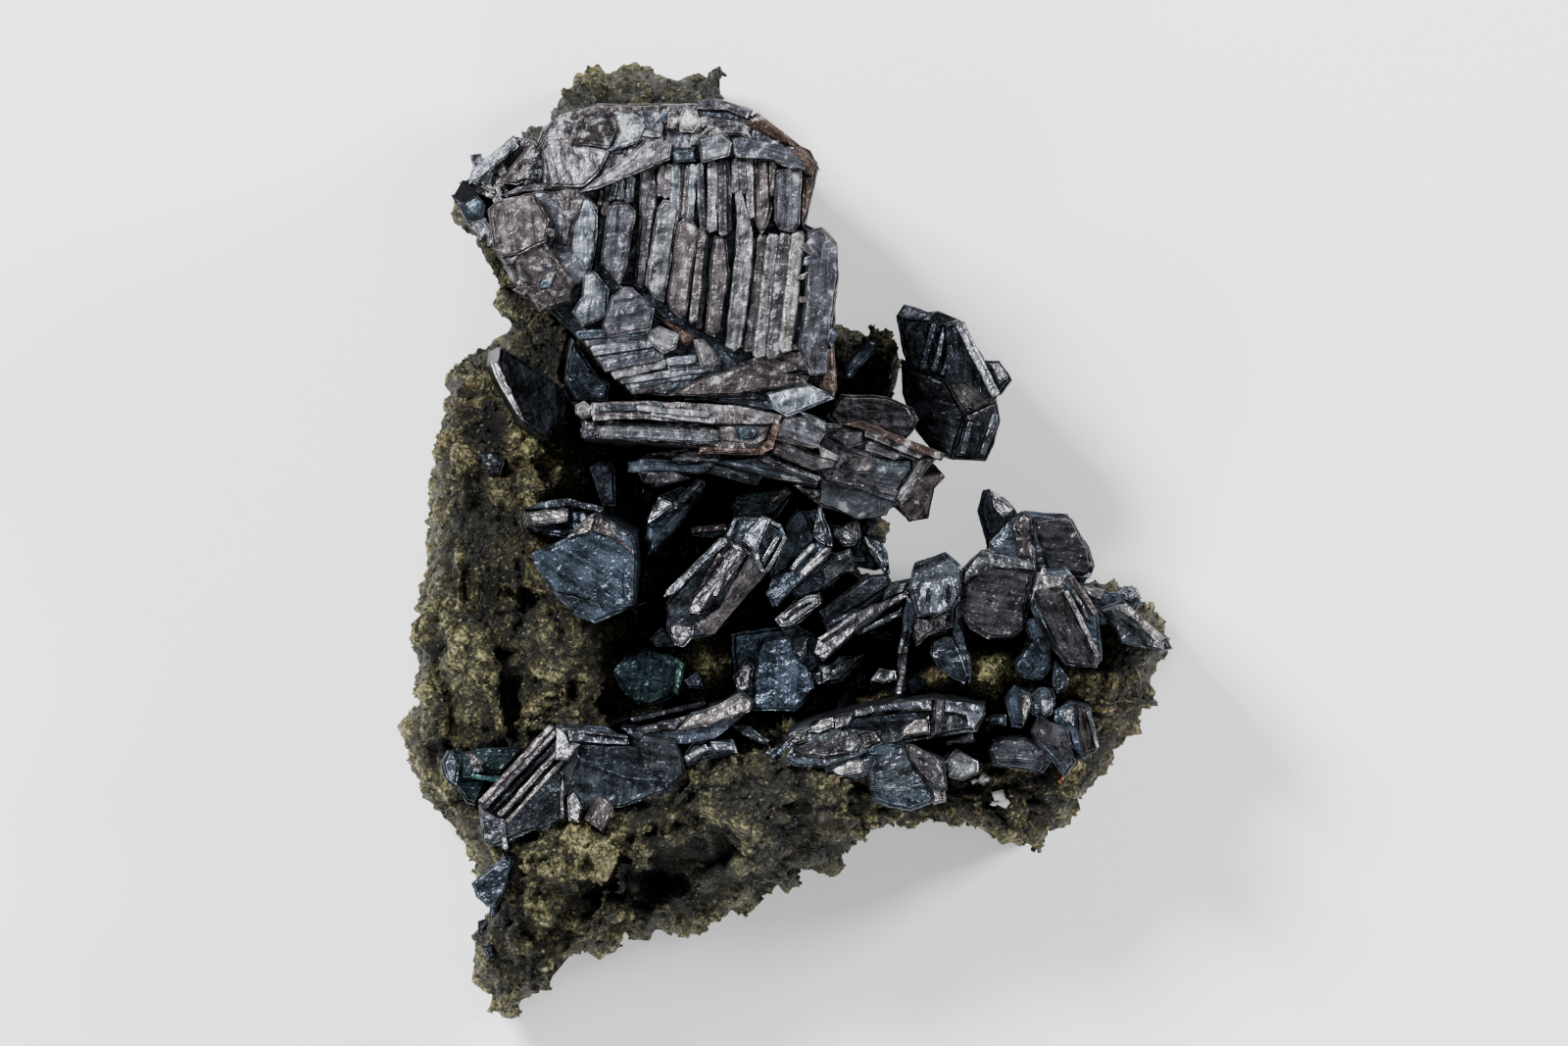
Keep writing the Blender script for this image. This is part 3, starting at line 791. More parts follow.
def offset_polygon(p, distance):
    """Convex polygon with each side moved in by its own distance; corners are where the new sides meet."""
    side = np.roll(p, -1, 0) - p
    n = np.c_[side[:, 1], -side[:, 0]] / np.linalg.norm(side, axis=1)[:, None]
    reach = (n * p).sum(1) - distance
    before_n, before_r = np.roll(n, 1, 0), np.roll(reach, 1)
    det = before_n[:, 0] * n[:, 1] - before_n[:, 1] * n[:, 0]
    blunt = np.abs(det) < 0.2
    safe = np.where(blunt, 1, det)
    q = np.c_[before_r * n[:, 1] - reach * before_n[:, 1], reach * before_n[:, 0] - before_r * n[:, 0]]
    mid = n + before_n
    mid /= np.linalg.norm(mid, axis=1)[:, None]
    plain = p - mid * ((distance + np.roll(distance, 1)) / 2)[:, None]
    return np.where(blunt[:, None], plain, q / safe[:, None])


class Cluster:
    """Collects the points, faces and attributes of the crystals of one piece."""

    def __init__(self, seed):
        self.rng = np.random.default_rng(seed)
        self.verts, self.faces, self.count = [], [], 0
        self.data = {k: [] for k in ("tint", "rim", "grain", "edge", "deep", "flake")}

    def add(self, face, z, slope, lean, root, tint="blue", steps=1, tread=0.16, riser=0.22, bevel=0.07,
            hollow=None, flake=0.05, gloom=0.5, grow=0.0):
        """One crystal, as rings of points from its root up its sides, over its steps and across its face.

        A ring is the outline with each side moved in by its own distance, at a height above the plane
        z + slope . (xy - middle). Steps go in by tread and up by riser. A hollow is the width of its rim
        and its depth. Gloom darkens the sides, and grow first moves the outline out, a lath's twice as far.
        """
        rng = self.rng
        p = np.array(face, float)
        q = np.roll(p, -1, 0)
        if (p[:, 0] * q[:, 1] - q[:, 0] * p[:, 1]).sum() < 0:
            p = p[::-1].copy()
        if grow:
            wide = np.ptp(p @ np.linalg.svd(p - p.mean(0))[2].T, axis=0)
            p = offset_polygon(p, np.full(len(p), -grow * (2 if wide[0] > 3 * wide[1] else 1)))
        q = np.roll(p, -1, 0)
        length = np.linalg.norm(q - p, axis=1)
        per_side = np.maximum(np.round(length / POINT_STEP).astype(int), 1)
        mid = p.mean(0)
        inradius = min(abs(np.cross(q - p, mid - p) / length))
        treads = np.minimum(tread * rng.uniform(0.2, 1.5, len(p)), 0.22 * inradius / max(steps, 1))
        bevel = min(bevel, 0.2 * inradius)
        rings, edge, deep = [], [], []

        def sides(poly):
            return np.concatenate([a + (b - a) * (np.arange(many) / many)[:, None]
                                   for a, b, many in zip(poly, np.roll(poly, -1, 0), per_side)])

        def ring(poly, height):
            points = sides(poly)
            return np.c_[points, z + (points - mid) @ np.array(slope, float) + height]

        def put(points, edge_wear=0.0, depth=0.0):
            rings.append(points)
            edge.append(edge_wear)
            deep.append(depth)

        # sides, slightly wavy, from the root to the first edge
        foot = sides(p + np.array(lean))
        rooted = np.c_[foot, np.full(len(foot), root)]
        drop = steps * riser
        start = ring(p, -drop - bevel)
        put(rooted, 0, 0.7)
        for share in (0.35, 0.6, 0.8, 0.92):
            part = rooted + (start - rooted) * share
            part[:, :2] += (part[:, :2] - mid) * rng.uniform(-0.015, 0.015)
            put(part, 0.1, gloom)
        put(rooted + (start - rooted) * 0.97, 0.1, gloom * 0.8)
        put(start, 0.3, gloom * 0.9)
        # steps up to the face
        inner = np.zeros(len(p))
        for k in range(steps):
            height = k * riser - drop
            put(ring(offset_polygon(p, inner + bevel * 0.6), height), 0.9)
            inner = inner + treads
            put(ring(offset_polygon(p, inner + bevel), height - 0.02), 0.0, 0.55)
            put(ring(offset_polygon(p, inner + bevel), height + riser - bevel), 0.6)
        inner = inner + bevel
        put(ring(offset_polygon(p, inner + bevel * 0.7), 0.0), 1.0)
        inner = inner + bevel * 1.5
        put(ring(offset_polygon(p, inner), 0.01), 0.5)
        # the face, or the walls and floor of a hollow in it
        top, level = offset_polygon(p, inner), 0.0
        if hollow:
            width, depth = hollow
            width = inner + np.minimum(width, 0.5 * inradius) * rng.uniform(0.7, 1.2, len(p))
            put(ring(offset_polygon(p, width), 0.0), 0.7)
            put(ring(offset_polygon(p, width + 0.06), -0.45 * depth), 0.3, 0.4)
            put(ring(offset_polygon(p, width + 0.18), -0.5 * depth), 0.4, 0.5)
            put(ring(offset_polygon(p, width + 0.25), -depth), 0.0, 0.8)
            top, level = offset_polygon(p, width + 0.27), -depth
        heart = top.mean(0)
        bend = BEND * rng.uniform(-1, 1)
        for share in (0.82, 0.6, 0.36, 0.12):
            bow = level + bend * (1 - share) * 0.5 + rng.uniform(-0.015, 0.015)
            put(ring(heart + (top - heart) * share, bow), 0.0, 0.5 if hollow else 0.0)
        pts, n = np.concatenate(rings), len(rings[0])
        # the striations run along the longest side
        longest = (q - p)[np.argmax(length)]
        c, s = longest / np.linalg.norm(longest)
        along, across = pts[:, 0] * c + pts[:, 1] * s, pts[:, 1] * c - pts[:, 0] * s
        shake = np.stack([layered(pts, 0.7, 2, 40 + k) - 0.5 for k in range(3)], 1)
        chips = np.maximum(layered(pts, 0.45, 2, 77) - 0.66, 0)
        edge, deep = np.repeat(edge, n), np.repeat(deep, n)
        pts = pts + shake * 0.15
        pts[:, 2] -= chips * edge * 0.9
        grid, low_fan, high_fan = skin(len(rings), n, len(pts) + 1, len(pts))
        for part in (grid[:, [0, 3, 2, 1]], high_fan[:, [0, 2, 1]], low_fan[:, [0, 2, 1]]):
            self.faces += (part + self.count).tolist()
        pts = np.r_[pts, [pts[-n:].mean(0)], [pts[:n].mean(0)]]
        self.verts.append(pts)
        self.count += len(pts)
        face_colour, edge_colour = TINTS[tint]
        shade = rng.uniform(0.62, 1.35) * (1 + rng.uniform(-0.11, 0.11) * np.array([1, 0, -1]))
        spin = rng.uniform(0, 40)
        self.data["tint"].append(np.tile([*(np.array(face_colour) * shade), 1.0], (len(pts), 1)))
        self.data["rim"].append(np.tile([*edge_colour, 1.0], (len(pts), 1)))
        self.data["grain"].append(np.c_[np.r_[along, 0, 0], np.r_[across, 0, 0], pts[:, 2]] + spin)
        self.data["edge"].append(np.r_[edge, 0, 0])
        self.data["deep"].append(np.r_[deep, 0.5 if hollow else 0, 0.7])
        self.data["flake"].append(np.full(len(pts), flake))

    def finish(self, name, *nodes):
        """Makes the mesh object, in the place of CAD nodes if any are named."""
        ob = put_mesh(name, np.concatenate(self.verts), self.faces, crystal_mat,
                      {k: np.concatenate(v) for k, v in self.data.items()})
        ob.data.set_sharp_from_angle(angle=CREASE)
        if nodes:
            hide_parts(*nodes)


def lath(x0, y0, x1, y1, width):
    """Corners of a narrow strip with blunt pointed ends from one point to another."""
    a, b = np.array([x0, y0]), np.array([x1, y1])
    length = np.linalg.norm(b - a)
    u = (b - a) / length
    side = np.array([-u[1], u[0]]) * width * 0.6
    tip = u * min(0.35 * width, 0.2 * length)
    return [a + side * 0.5, a + tip - side, b - tip - side, b - side * 0.4,
            b + side * 0.6, b - tip * 1.5 + side, a + tip + side]


def draw(cluster, items, root, **style):
    """Adds plates and laths that only the look has, ending at root: a plate has one low step, a lath none."""
    for tint, z, slope, shape, *rim in items:
        narrow = isinstance(shape, tuple)
        own = {"tint": tint, "steps": 0 if narrow else 1, "tread": 0.07, "riser": 0.16, "bevel": 0.08,
               "gloom": 1.0}
        if rim:
            own["hollow"] = (rim[0], 0.5)
        if style.get("grow") and not narrow and max(y for x, y in shape) > DOME_Y:
            own["flake"] = DOME_FLAKE
        cluster.add(lath(*shape) if narrow else shape, z, slope, (0, 0), root, **{**style, **own})


crystal_mat = crystal_material()
crown = Cluster(seed=5)
for crystal in CROWN:
    body = crystal[1] in (Z_BODY, Z_BODY + BODY_STEP)
    crown.add(*crystal, CROWN_ROOT, tint="dark" if body else "violet", flake=0.1)
draw(crown, CROWN_LOOK, PLATE_ROOT, flake=CROWN_FLAKE, grow=0.04)
crown.finish("crown_crystals_look", "crown_crystals")


# Upper right crystal: a dark stack of flat copper sulfide crystals beyond the bar's end, with laths on
# its faces. It has grown from the rock behind the crown and is fast in it.
ROOT = 6.6              # height at which a group ends inside the rock, if it has no depth of its own


def grow_group(node, seed, root, tint, crystals, extras=()):
    """One group in the place of its node: the solid's crystals made finely, and what only the look has."""
    group = Cluster(seed)
    for crystal in crystals:
        group.add(*crystal, root, tint=tint)
    draw(group, extras, root)
    group.finish(node + "_look", node)


grow_group("upper_right_crystal", seed=31, root=5.4, tint="dark", crystals=[
    ([(10, 13.7), (11, 14), (12.6, 11.5), (13.5, 9.2), (13.2, 8.7), (11.3, 7.9), (10.1, 10)], 13.2,
     (-0.12, -0.05), (-1, 0)),
    ([(7.5, 11.3), (10.2, 10.2), (11.4, 7.9), (10.6, 5.1), (9.6, 5.3), (8.4, 6.7), (7.6, 9)], 12.4,
     (0.35, 0.2), (-0.2, 0.3)),
    ([(11.3, 8), (13.4, 8.9), (13.6, 7.5), (13.2, 6), (12.7, 5), (10.6, 5.1)], 12.6, (0, 0.2), (0, 0)),
    ([(7, 14.2), (7.5, 15), (9, 14.5), (9.6, 14.6), (11, 14), (11.4, 10.2), (8, 10.6), (7.4, 12)], 11.6,
     (0.1, -0.05), (0, 0)),
    ([(12.5, 11.4), (13.6, 11.4), (14.4, 10.1), (13.7, 9.2), (12.9, 9.4)], 12.2, (0, 0), (-0.4, 0)),
], extras=[
    ("silver", 13.6, (-.3, -.2), (13.4, 9.1, 10.95, 13.9, .5)),
    ("brown", 13.5, (0, .2), [(10.1, 10), (11.5, 10), (13.2, 8.7), (11.3, 7.9)]),
    ("dark", 12.9, (0, 0), (8.6, 10.8, 9.4, 13.8, .3)),
    ("blue", 13.0, (.1, -.1), (9.3, 10.6, 10.2, 13.6, .3)),
    ("blue", 13.1, (.1, -.1), (9.9, 10.4, 10.9, 13.3, .22)),
    ("blue", 13.0, (.2, -.2), [(7, 14.2), (7.5, 15), (9, 14.5), (9.6, 14.5), (9.1, 13.9), (7.6, 14)]),
    ("violet", 13.2, (0, .1), (11.5, 7.7, 13.3, 8.5, .26)),
    ("blue", 13.0, (0, 0), (12.5, 5.4, 13.3, 8, .3)), ("blue", 13.0, (0, 0), (11.2, 5.4, 11.7, 7.5, .24)),
    ("silver", 12.5, (0, -.2), [(12.9, 11.2), (13.5, 11.3), (14.1, 10.3), (13.5, 9.9)]),
])

# Upper right prism: one small lit prism of copper sulfide in the gap between the crown and the dark
# crystal, standing on the rock.
grow_group("upper_right_prism", seed=32, root=ROOT, tint="blue", crystals=[
    ([(3.7, 11.3), (5.2, 12.7), (5.8, 12.6), (5.6, 12), (4.1, 10.3), (3.6, 10.2)], 11.0, (0.05, -0.2),
     (0, 0)),
])

# Left blade: one thick dark blade of copper sulfide that leans against the crown's lower left, with a
# bright edge. It is rooted in the top of the left wall.
grow_group("left_blade_crystal", seed=33, root=12.4, tint="dark", crystals=[
    ([(-18.4, 11.2), (-18.2, 12.2), (-17, 11.5), (-14.6, 9.9), (-13.9, 9.1), (-14.2, 7.9), (-15.3, 6.2),
     (-16.9, 7.4)], 17.8, (-0.3, 0.1), (-0.8, -0.2)),
], extras=[
    ("silver", 18.7, (.5, -.2), [(-18.9, 11.3), (-18.4, 11.3), (-17, 8.3), (-16.7, 7.4), (-17.4, 8.3),
     (-18.6, 10.4)]),
])

# Left kite: one small dark kite-shaped crystal of copper sulfide beside the blade, rooted in the wall.
# It shows one plain face.
grow_group("left_kite_crystal", seed=34, root=9.6, tint="dark", crystals=[
    ([(-13.7, 12.8), (-12.2, 10.6), (-11.3, 9.9), (-11.4, 8.8), (-13.4, 8.9), (-14.1, 10.1), (-13.9, 11.6)],
     15.5, (0.05, 0.1), (-0.3, 0)),
])

# Left plate: a large six-sided plate of copper sulfide with worn bevels, and the blade above it that has
# grown into it. Both are rooted in the left side of the hollow.
grow_group("left_plate_crystal", seed=35, root=11.0, tint="blue", crystals=[
    ([(-16.2, -0.9), (-14.1, 0.1), (-12.1, 1.8), (-9.7, 0.3), (-9.5, -1.4), (-9.7, -4.2), (-10.5, -4.7),
     (-12.2, -5.4), (-13.4, -4.9), (-15, -3.3), (-16, -1.8)], 18.6, (0.05, 0.05), (0.3, 0.3)),
    ([(-16.8, 1.8), (-15.7, 2.4), (-13.9, 2.6), (-11.6, 2), (-11.9, 0.9), (-14, 0), (-16.6, 0.6)], 17.2,
     (0.05, -0.35), (0, 0)),
], extras=[
    ("silver", 18.9, (.3, -.5), [(-14, .15), (-12.7, 1.45), (-12.1, 1.75), (-12.4, .5), (-13.8, 0)]),
    ("violet", 18.9, (-.25, -.2), [(-12.1, 1.75), (-9.75, .2), (-9.65, -1.3), (-11, 0), (-12.4, .5)]),
    ("blue", 18.7, (-.5, 0), [(-10.5, -1.2), (-9.75, -1.3), (-9.75, -4.2), (-10.4, -4.3)], .2),
    ("dark", 18.5, (.1, .5), [(-15.2, -3), (-13, -3.6), (-10.5, -4.3), (-12.2, -5.1), (-13.2, -4.8)]),
    ("silver", 18.0, (.1, -.7), [(-16.8, 1.4), (-16.7, 1.8), (-14.1, 2.2), (-13.9, 1.9), (-14, 1.1),
     (-16.7, .7)]),
    ("blue", 17.9, (0, -.3), [(-16.8, 1.9), (-15, 2.5), (-13.9, 2.6), (-11.7, 1.9), (-11.7, 1.7),
     (-13.9, 2.15)]),
])

# Stub: one short upright crystal of copper sulfide under the bar's left end. It is half hidden, and
# rooted in the hollow.
grow_group("stub_crystal", seed=36, root=ROOT, tint="blue", crystals=[
    ([(-12.6, 4.6), (-11.9, 5), (-11.2, 4.9), (-10.9, 4.4), (-10.9, 2.1), (-11.7, 2), (-12.1, 3)], 13.5,
     (0, 0.2), (0.2, 0.3)),
])

# Upper centre crystal: one leaning prism of copper sulfide with two bright facets, right of the stub.
# It is rooted in the floor of the hollow.
grow_group("upper_centre_crystal", seed=37, root=ROOT, tint="blue", crystals=[
    ([(-8.9, 1.3), (-8.2, 2.8), (-5.6, 3.8), (-5.2, 3.7), (-5.2, 3.2), (-7.1, 1.3), (-8.4, -0.9), (-9, 0)],
     14.6, (-0.1, -0.15), (0.3, -0.8)),
], extras=[
    ("silver", 15.5, (.3, -.4), [(-8.2, 2.75), (-7.3, 2.35), (-7.3, 2.1), (-8.9, .9), (-8.7, 1.7)]),
    ("silver", 15.5, (.3, -.2), [(-7.3, 2.3), (-5.7, 3.9), (-5.3, 3.8), (-5.4, 3.4), (-7.1, 1.9)]),
    ("blue", 14.9, (-.2, 0), [(-7.1, 1.8), (-5.4, 3.2), (-6.9, .7), (-8.9, -1.1), (-8.8, 0)]),
])

# Centre group: a long diagonal crystal with a hollow end, and smaller ones right of it, all of copper
# sulfide and grown into each other. They are rooted in the floor of the hollow.
grow_group("centre_crystals", seed=38, root=ROOT, tint="blue", crystals=[
    ([(-7.7, -4), (-6.3, -2.4), (-4.1, 0), (-3.2, 1.4), (-1.4, 1.4), (0.1, 0.2), (-1.4, -2.3), (-4.6, -6),
     (-5.2, -6.3), (-7.2, -6.6), (-7.7, -5.7)], 16.6, (0.06, 0.12), (0.3, 0.2)),
    ([(-3.4, 2.4), (-1.7, 2.9), (0, 3.2), (0.4, 2.9), (-0.9, 0.9), (-3.4, 1)], 14.4, (0, 0.1), (0, 0)),
    ([(-6.2, 0.8), (-3.2, 1), (-3.6, 0), (-6.1, 0.2)], 12.8, (0, 0), (0, 0)),
    ([(-1.4, -3.4), (1.8, -0.2), (2.9, -0.6), (-0.9, -4.4)], 16.0, (0.05, 0.05), (0, -0.3)),
    ([(-1.2, -3), (0.1, 0.3), (1.3, 1.8), (2, 2), (2.9, 0), (2.8, -0.7), (-0.9, -4.2)], 15.2, (0, 0.1),
     (0, 0)),
    ([(1.4, -1.9), (2.9, -0.8), (4.3, -1.3), (4.1, -1.9), (2.4, -3.2), (0.9, -3.2)], 15.6, (0, 0.1),
     (0, 0)),
    ([(2.6, 0.9), (4.6, 1.1), (4.7, 0.1), (4.3, -0.4), (3.7, -0.4), (2.9, 0.2)], 14.2, (0, -0.2),
     (0, -0.4)),
    ([(4.6, 0.2), (5.4, 0.1), (6.4, -1.8), (5.6, -2), (3.8, -1.6)], 12.6, (-0.1, 0.1), (0, 0)),
], extras=[
    ("silver", 17.6, (.5, -.3), [(-4.3, .1), (-3.9, .1), (-3.8, -.2), (-7.3, -3.6), (-7.9, -3.7),
     (-7.7, -3.3)]),
    ("violet", 17.4, (.1, -.1), [(-4, 0), (-2.8, -.4), (-2.3, -.9), (-3.4, -2.5), (-5.3, -4.6),
     (-6.2, -4.9), (-6.2, -3.9), (-4.9, -2.1)]),
    ("silver", 17.7, (.2, -.2), (-4.6, -3.6, -3.8, -1.3, .22)),
    ("silver", 17.6, (.2, -.2), (-5.4, -4.1, -3.4, -1.3, .2)),
    ("violet", 17.6, (.2, 0), (-5.6, -3.2, -4.2, -.9, .2)),
    ("violet", 17.1, (-.1, .05), [(-2.3, -.8), (-1.4, -2.2), (-4.6, -6), (-5.2, -6.1), (-5.8, -5.4),
     (-4.3, -4.4)]),
    ("silver", 17.9, (.2, -.2), [(-6.3, -4.3), (-5.7, -3.9), (-5.3, -4.4), (-5.6, -4.8), (-6.2, -4.7)],
     .15),
    ("violet", 17.0, (.2, -.1), [(-7.6, -5.6), (-7.2, -5.3), (-5.9, -5.5), (-6, -6.3), (-6.6, -6.9),
     (-7.2, -6.7)]),
    ("blue", 15.4, (0, .2), [(-8.8, -6.3), (-8, -5.6), (-7.6, -5.8), (-7.2, -6.9), (-8.4, -6.9)]),
    ("silver", 17.5, (.3, -.2), (-3.75, .15, -3.3, 1.35, .2)),
    ("blue", 16.9, (.2, -.2), (-3.25, .4, -2.6, 1.3, .26)),
    ("blue", 16.9, (.2, -.2), (-2.8, .3, -2.1, 1.4, .22)),
    ("silver", 17.9, (.3, -.3), [(-2.8, -.1), (-2.6, .4), (-1.6, 1.5), (-1, 1.3), (-1.5, .2), (-2, -.9)]),
    ("silver", 17.9, (.1, 0), [(-2.2, -.9), (-1.9, -.5), (-1.6, -1.7), (-1.3, -2.2), (-1.8, -1.9)]),
    ("silver", 17.6, (0, -.3), (-1.1, 1.2, -.4, .8, .22)),
    ("blue", 17.5, (-.3, 0), (-.45, .85, -.1, -.1, .22)),
    ("silver", 17.6, (-.2, .1), (-1.3, -2.1, -.05, .1, .2)),
    ("silver", 17.5, (0, 0), (-1.55, -1.5, -.55, .1, .26)),
    ("teal", 15.0, (0, .1), [(-3.7, 2.2), (-3.1, 2.8), (-1.7, 3.1), (.1, 3.4), (.35, 2.9), (-.9, 1.4),
     (-2.2, 1.2), (-3.3, 1.6)]),
    ("silver", 15.3, (.2, -.4), [(-.4, 3.2), (.1, 3.4), (.35, 2.9), (-1.2, 2.1), (-1.1, 2.6)]),
    ("violet", 13.5, (0, -.2), [(-6.2, .8), (-3.9, 1), (-3.9, .5), (-6.2, .35)]),
    ("blue", 16.5, (.1, -.1), [(-1.35, -3.4), (-.9, -2.4), (.1, -2), (1.9, -.2), (2.9, -.55), (2.4, -1.4),
     (-.7, -4.3)]),
    ("silver", 16.8, (.3, -.2), (.2, -2, 1.75, -.3, .3)),
    ("silver", 16.8, (.2, -.1), (.9, -2.3, 2.7, -.6, .36)),
    ("dark", 15.9, (-.1, .1), [(0, 1), (.6, 2), (1.3, 1.8), (1.9, .1), (.5, -1.6), (-.9, -2.7),
     (-1.1, -2.2)]),
    ("blue", 16.6, (.2, -.1), [(1.6, .2), (1.95, 2.2), (2.2, 2.1), (2.9, .1), (2.9, -.5), (2, -.2)]),
    ("silver", 15.1, (0, -.35), [(2.7, 1), (3.4, .9), (4.4, 1.3), (4.6, 1), (4.7, .1), (4.3, -.45),
     (3.6, -.5), (2.9, .1)]),
    ("blue", 14.4, (.2, -.2), [(5.2, .3), (5.9, .1), (6.4, -.9), (6.6, -2.2), (6.2, -2.2), (5.4, -1),
     (4.8, -.1)]),
    ("silver", 14.7, (.3, -.1), (4.9, .1, 6.3, -1.7, .25)),
    ("blue", 16.2, (0, 0), [(2, -1.7), (2.7, -1), (4, -.6), (4.3, -1.3), (4.2, -2), (3.3, -2.3),
     (2.4, -2.9)]),
    ("dark", 15.6, (0, .2), [(.2, -3.2), (2.6, -1.6), (3.6, -2.2), (2.2, -3.3), (.6, -3.9)]),
])

# Lower centre group: blades that lean to the right and a broad dark one below them, of copper sulfide,
# grown together. They are rooted where the hollow meets the ledge.
grow_group("lower_centre_crystals", seed=39, root=ROOT, tint="blue", crystals=[
    ([(-0.8, -5.1), (0.4, -3.9), (2.1, -3.4), (2.3, -3.9), (0.9, -5.3), (-0.2, -5.9)], 15.2, (0, 0),
     (0, 0)),
    ([(1.7, -7.3), (1.9, -6.5), (4.4, -4.8), (6.2, -4), (7.6, -3.4), (7.5, -3.8), (4.4, -6), (2.3, -7.8)],
     16.2, (0.05, -0.1), (0, -0.4)),
    ([(2, -4.6), (5.2, -2.2), (6.4, -2.6), (6.2, -3.6), (4.4, -5), (2.6, -5.9)], 15.2, (0, 0.1), (0, -0.3)),
    ([(1.6, -8.6), (3.4, -7.4), (5.1, -7.4), (3.5, -9.1), (2, -9.3)], 13.6, (0, 0), (0, 0.5)),
    ([(-3.6, -6), (0.5, -5.4), (2.6, -6.5), (2.4, -8.5), (0.8, -10.9), (-1.8, -10.9), (-3.4, -9)], 12.0,
     (0, 0.05), (0, 0)),
], extras=[
    ("silver", 15.9, (.1, -.2), [(-.8, -5.1), (.2, -4.2), (1.2, -3.6), (2.1, -3.5), (2.2, -4.1),
     (1.1, -4.9), (.2, -5.5), (-.4, -5.6)], .15),
    ("violet", 16.7, (.1, -.25), [(1.7, -7.3), (1.9, -6.4), (4.3, -4.7), (7.5, -3.4), (7.7, -3.7),
     (4.6, -5.2), (4.3, -5.9), (2.4, -7.7)]),
    ("blue", 16.2, (0, .1), [(4.4, -5.9), (7.3, -4.3), (7.4, -4.8), (5.8, -5.6), (4.5, -6.2)]),
    ("silver", 17.0, (.2, -.3), (2, -6.4, 4.4, -4.8, .2)),
    ("dark", 15.6, (0, .25), [(2.3, -5.5), (2.3, -4.4), (5.3, -2.3), (6.4, -2.2), (6.7, -2.9),
     (4.3, -4.5)]),
    ("blue", 15.9, (0, 0), [(6.2, -3.2), (6.9, -2.7), (7.9, -2.5), (7.9, -2.9), (7.5, -3.5), (6.1, -3.9)]),
    ("blue", 14.5, (0, -.1), [(2, -8.1), (3.3, -7.9), (5.1, -7.2), (4.6, -7.7), (3.4, -9), (2.2, -9.2)]),
    ("silver", 14.8, (.2, -.2), (2.9, -8.6, 3.4, -8, .2)),
    ("blue", 13.4, (.1, 0), [(-2, -7.2), (-1.5, -6.3), (.2, -6.2), (1.3, -7.9), (1.8, -9.5), (.5, -11),
     (-2.2, -11)]),
    ("dark", 14.6, (.1, 0), [(.2, -6.5), (.7, -6), (1.5, -6.2), (1.3, -7.6), (1, -8), (.4, -7.3)]),
    ("silver", 14.9, (0, -.2), [(5.3, -9), (5.9, -8.2), (6.9, -8.4), (7, -9), (6.2, -9.2)]),
    ("violet", 13.6, (.1, -.2), [(-3.5, -8.8), (-2.6, -7.6), (-2, -8), (-2.3, -9.6), (-3.1, -9.9)]),
])

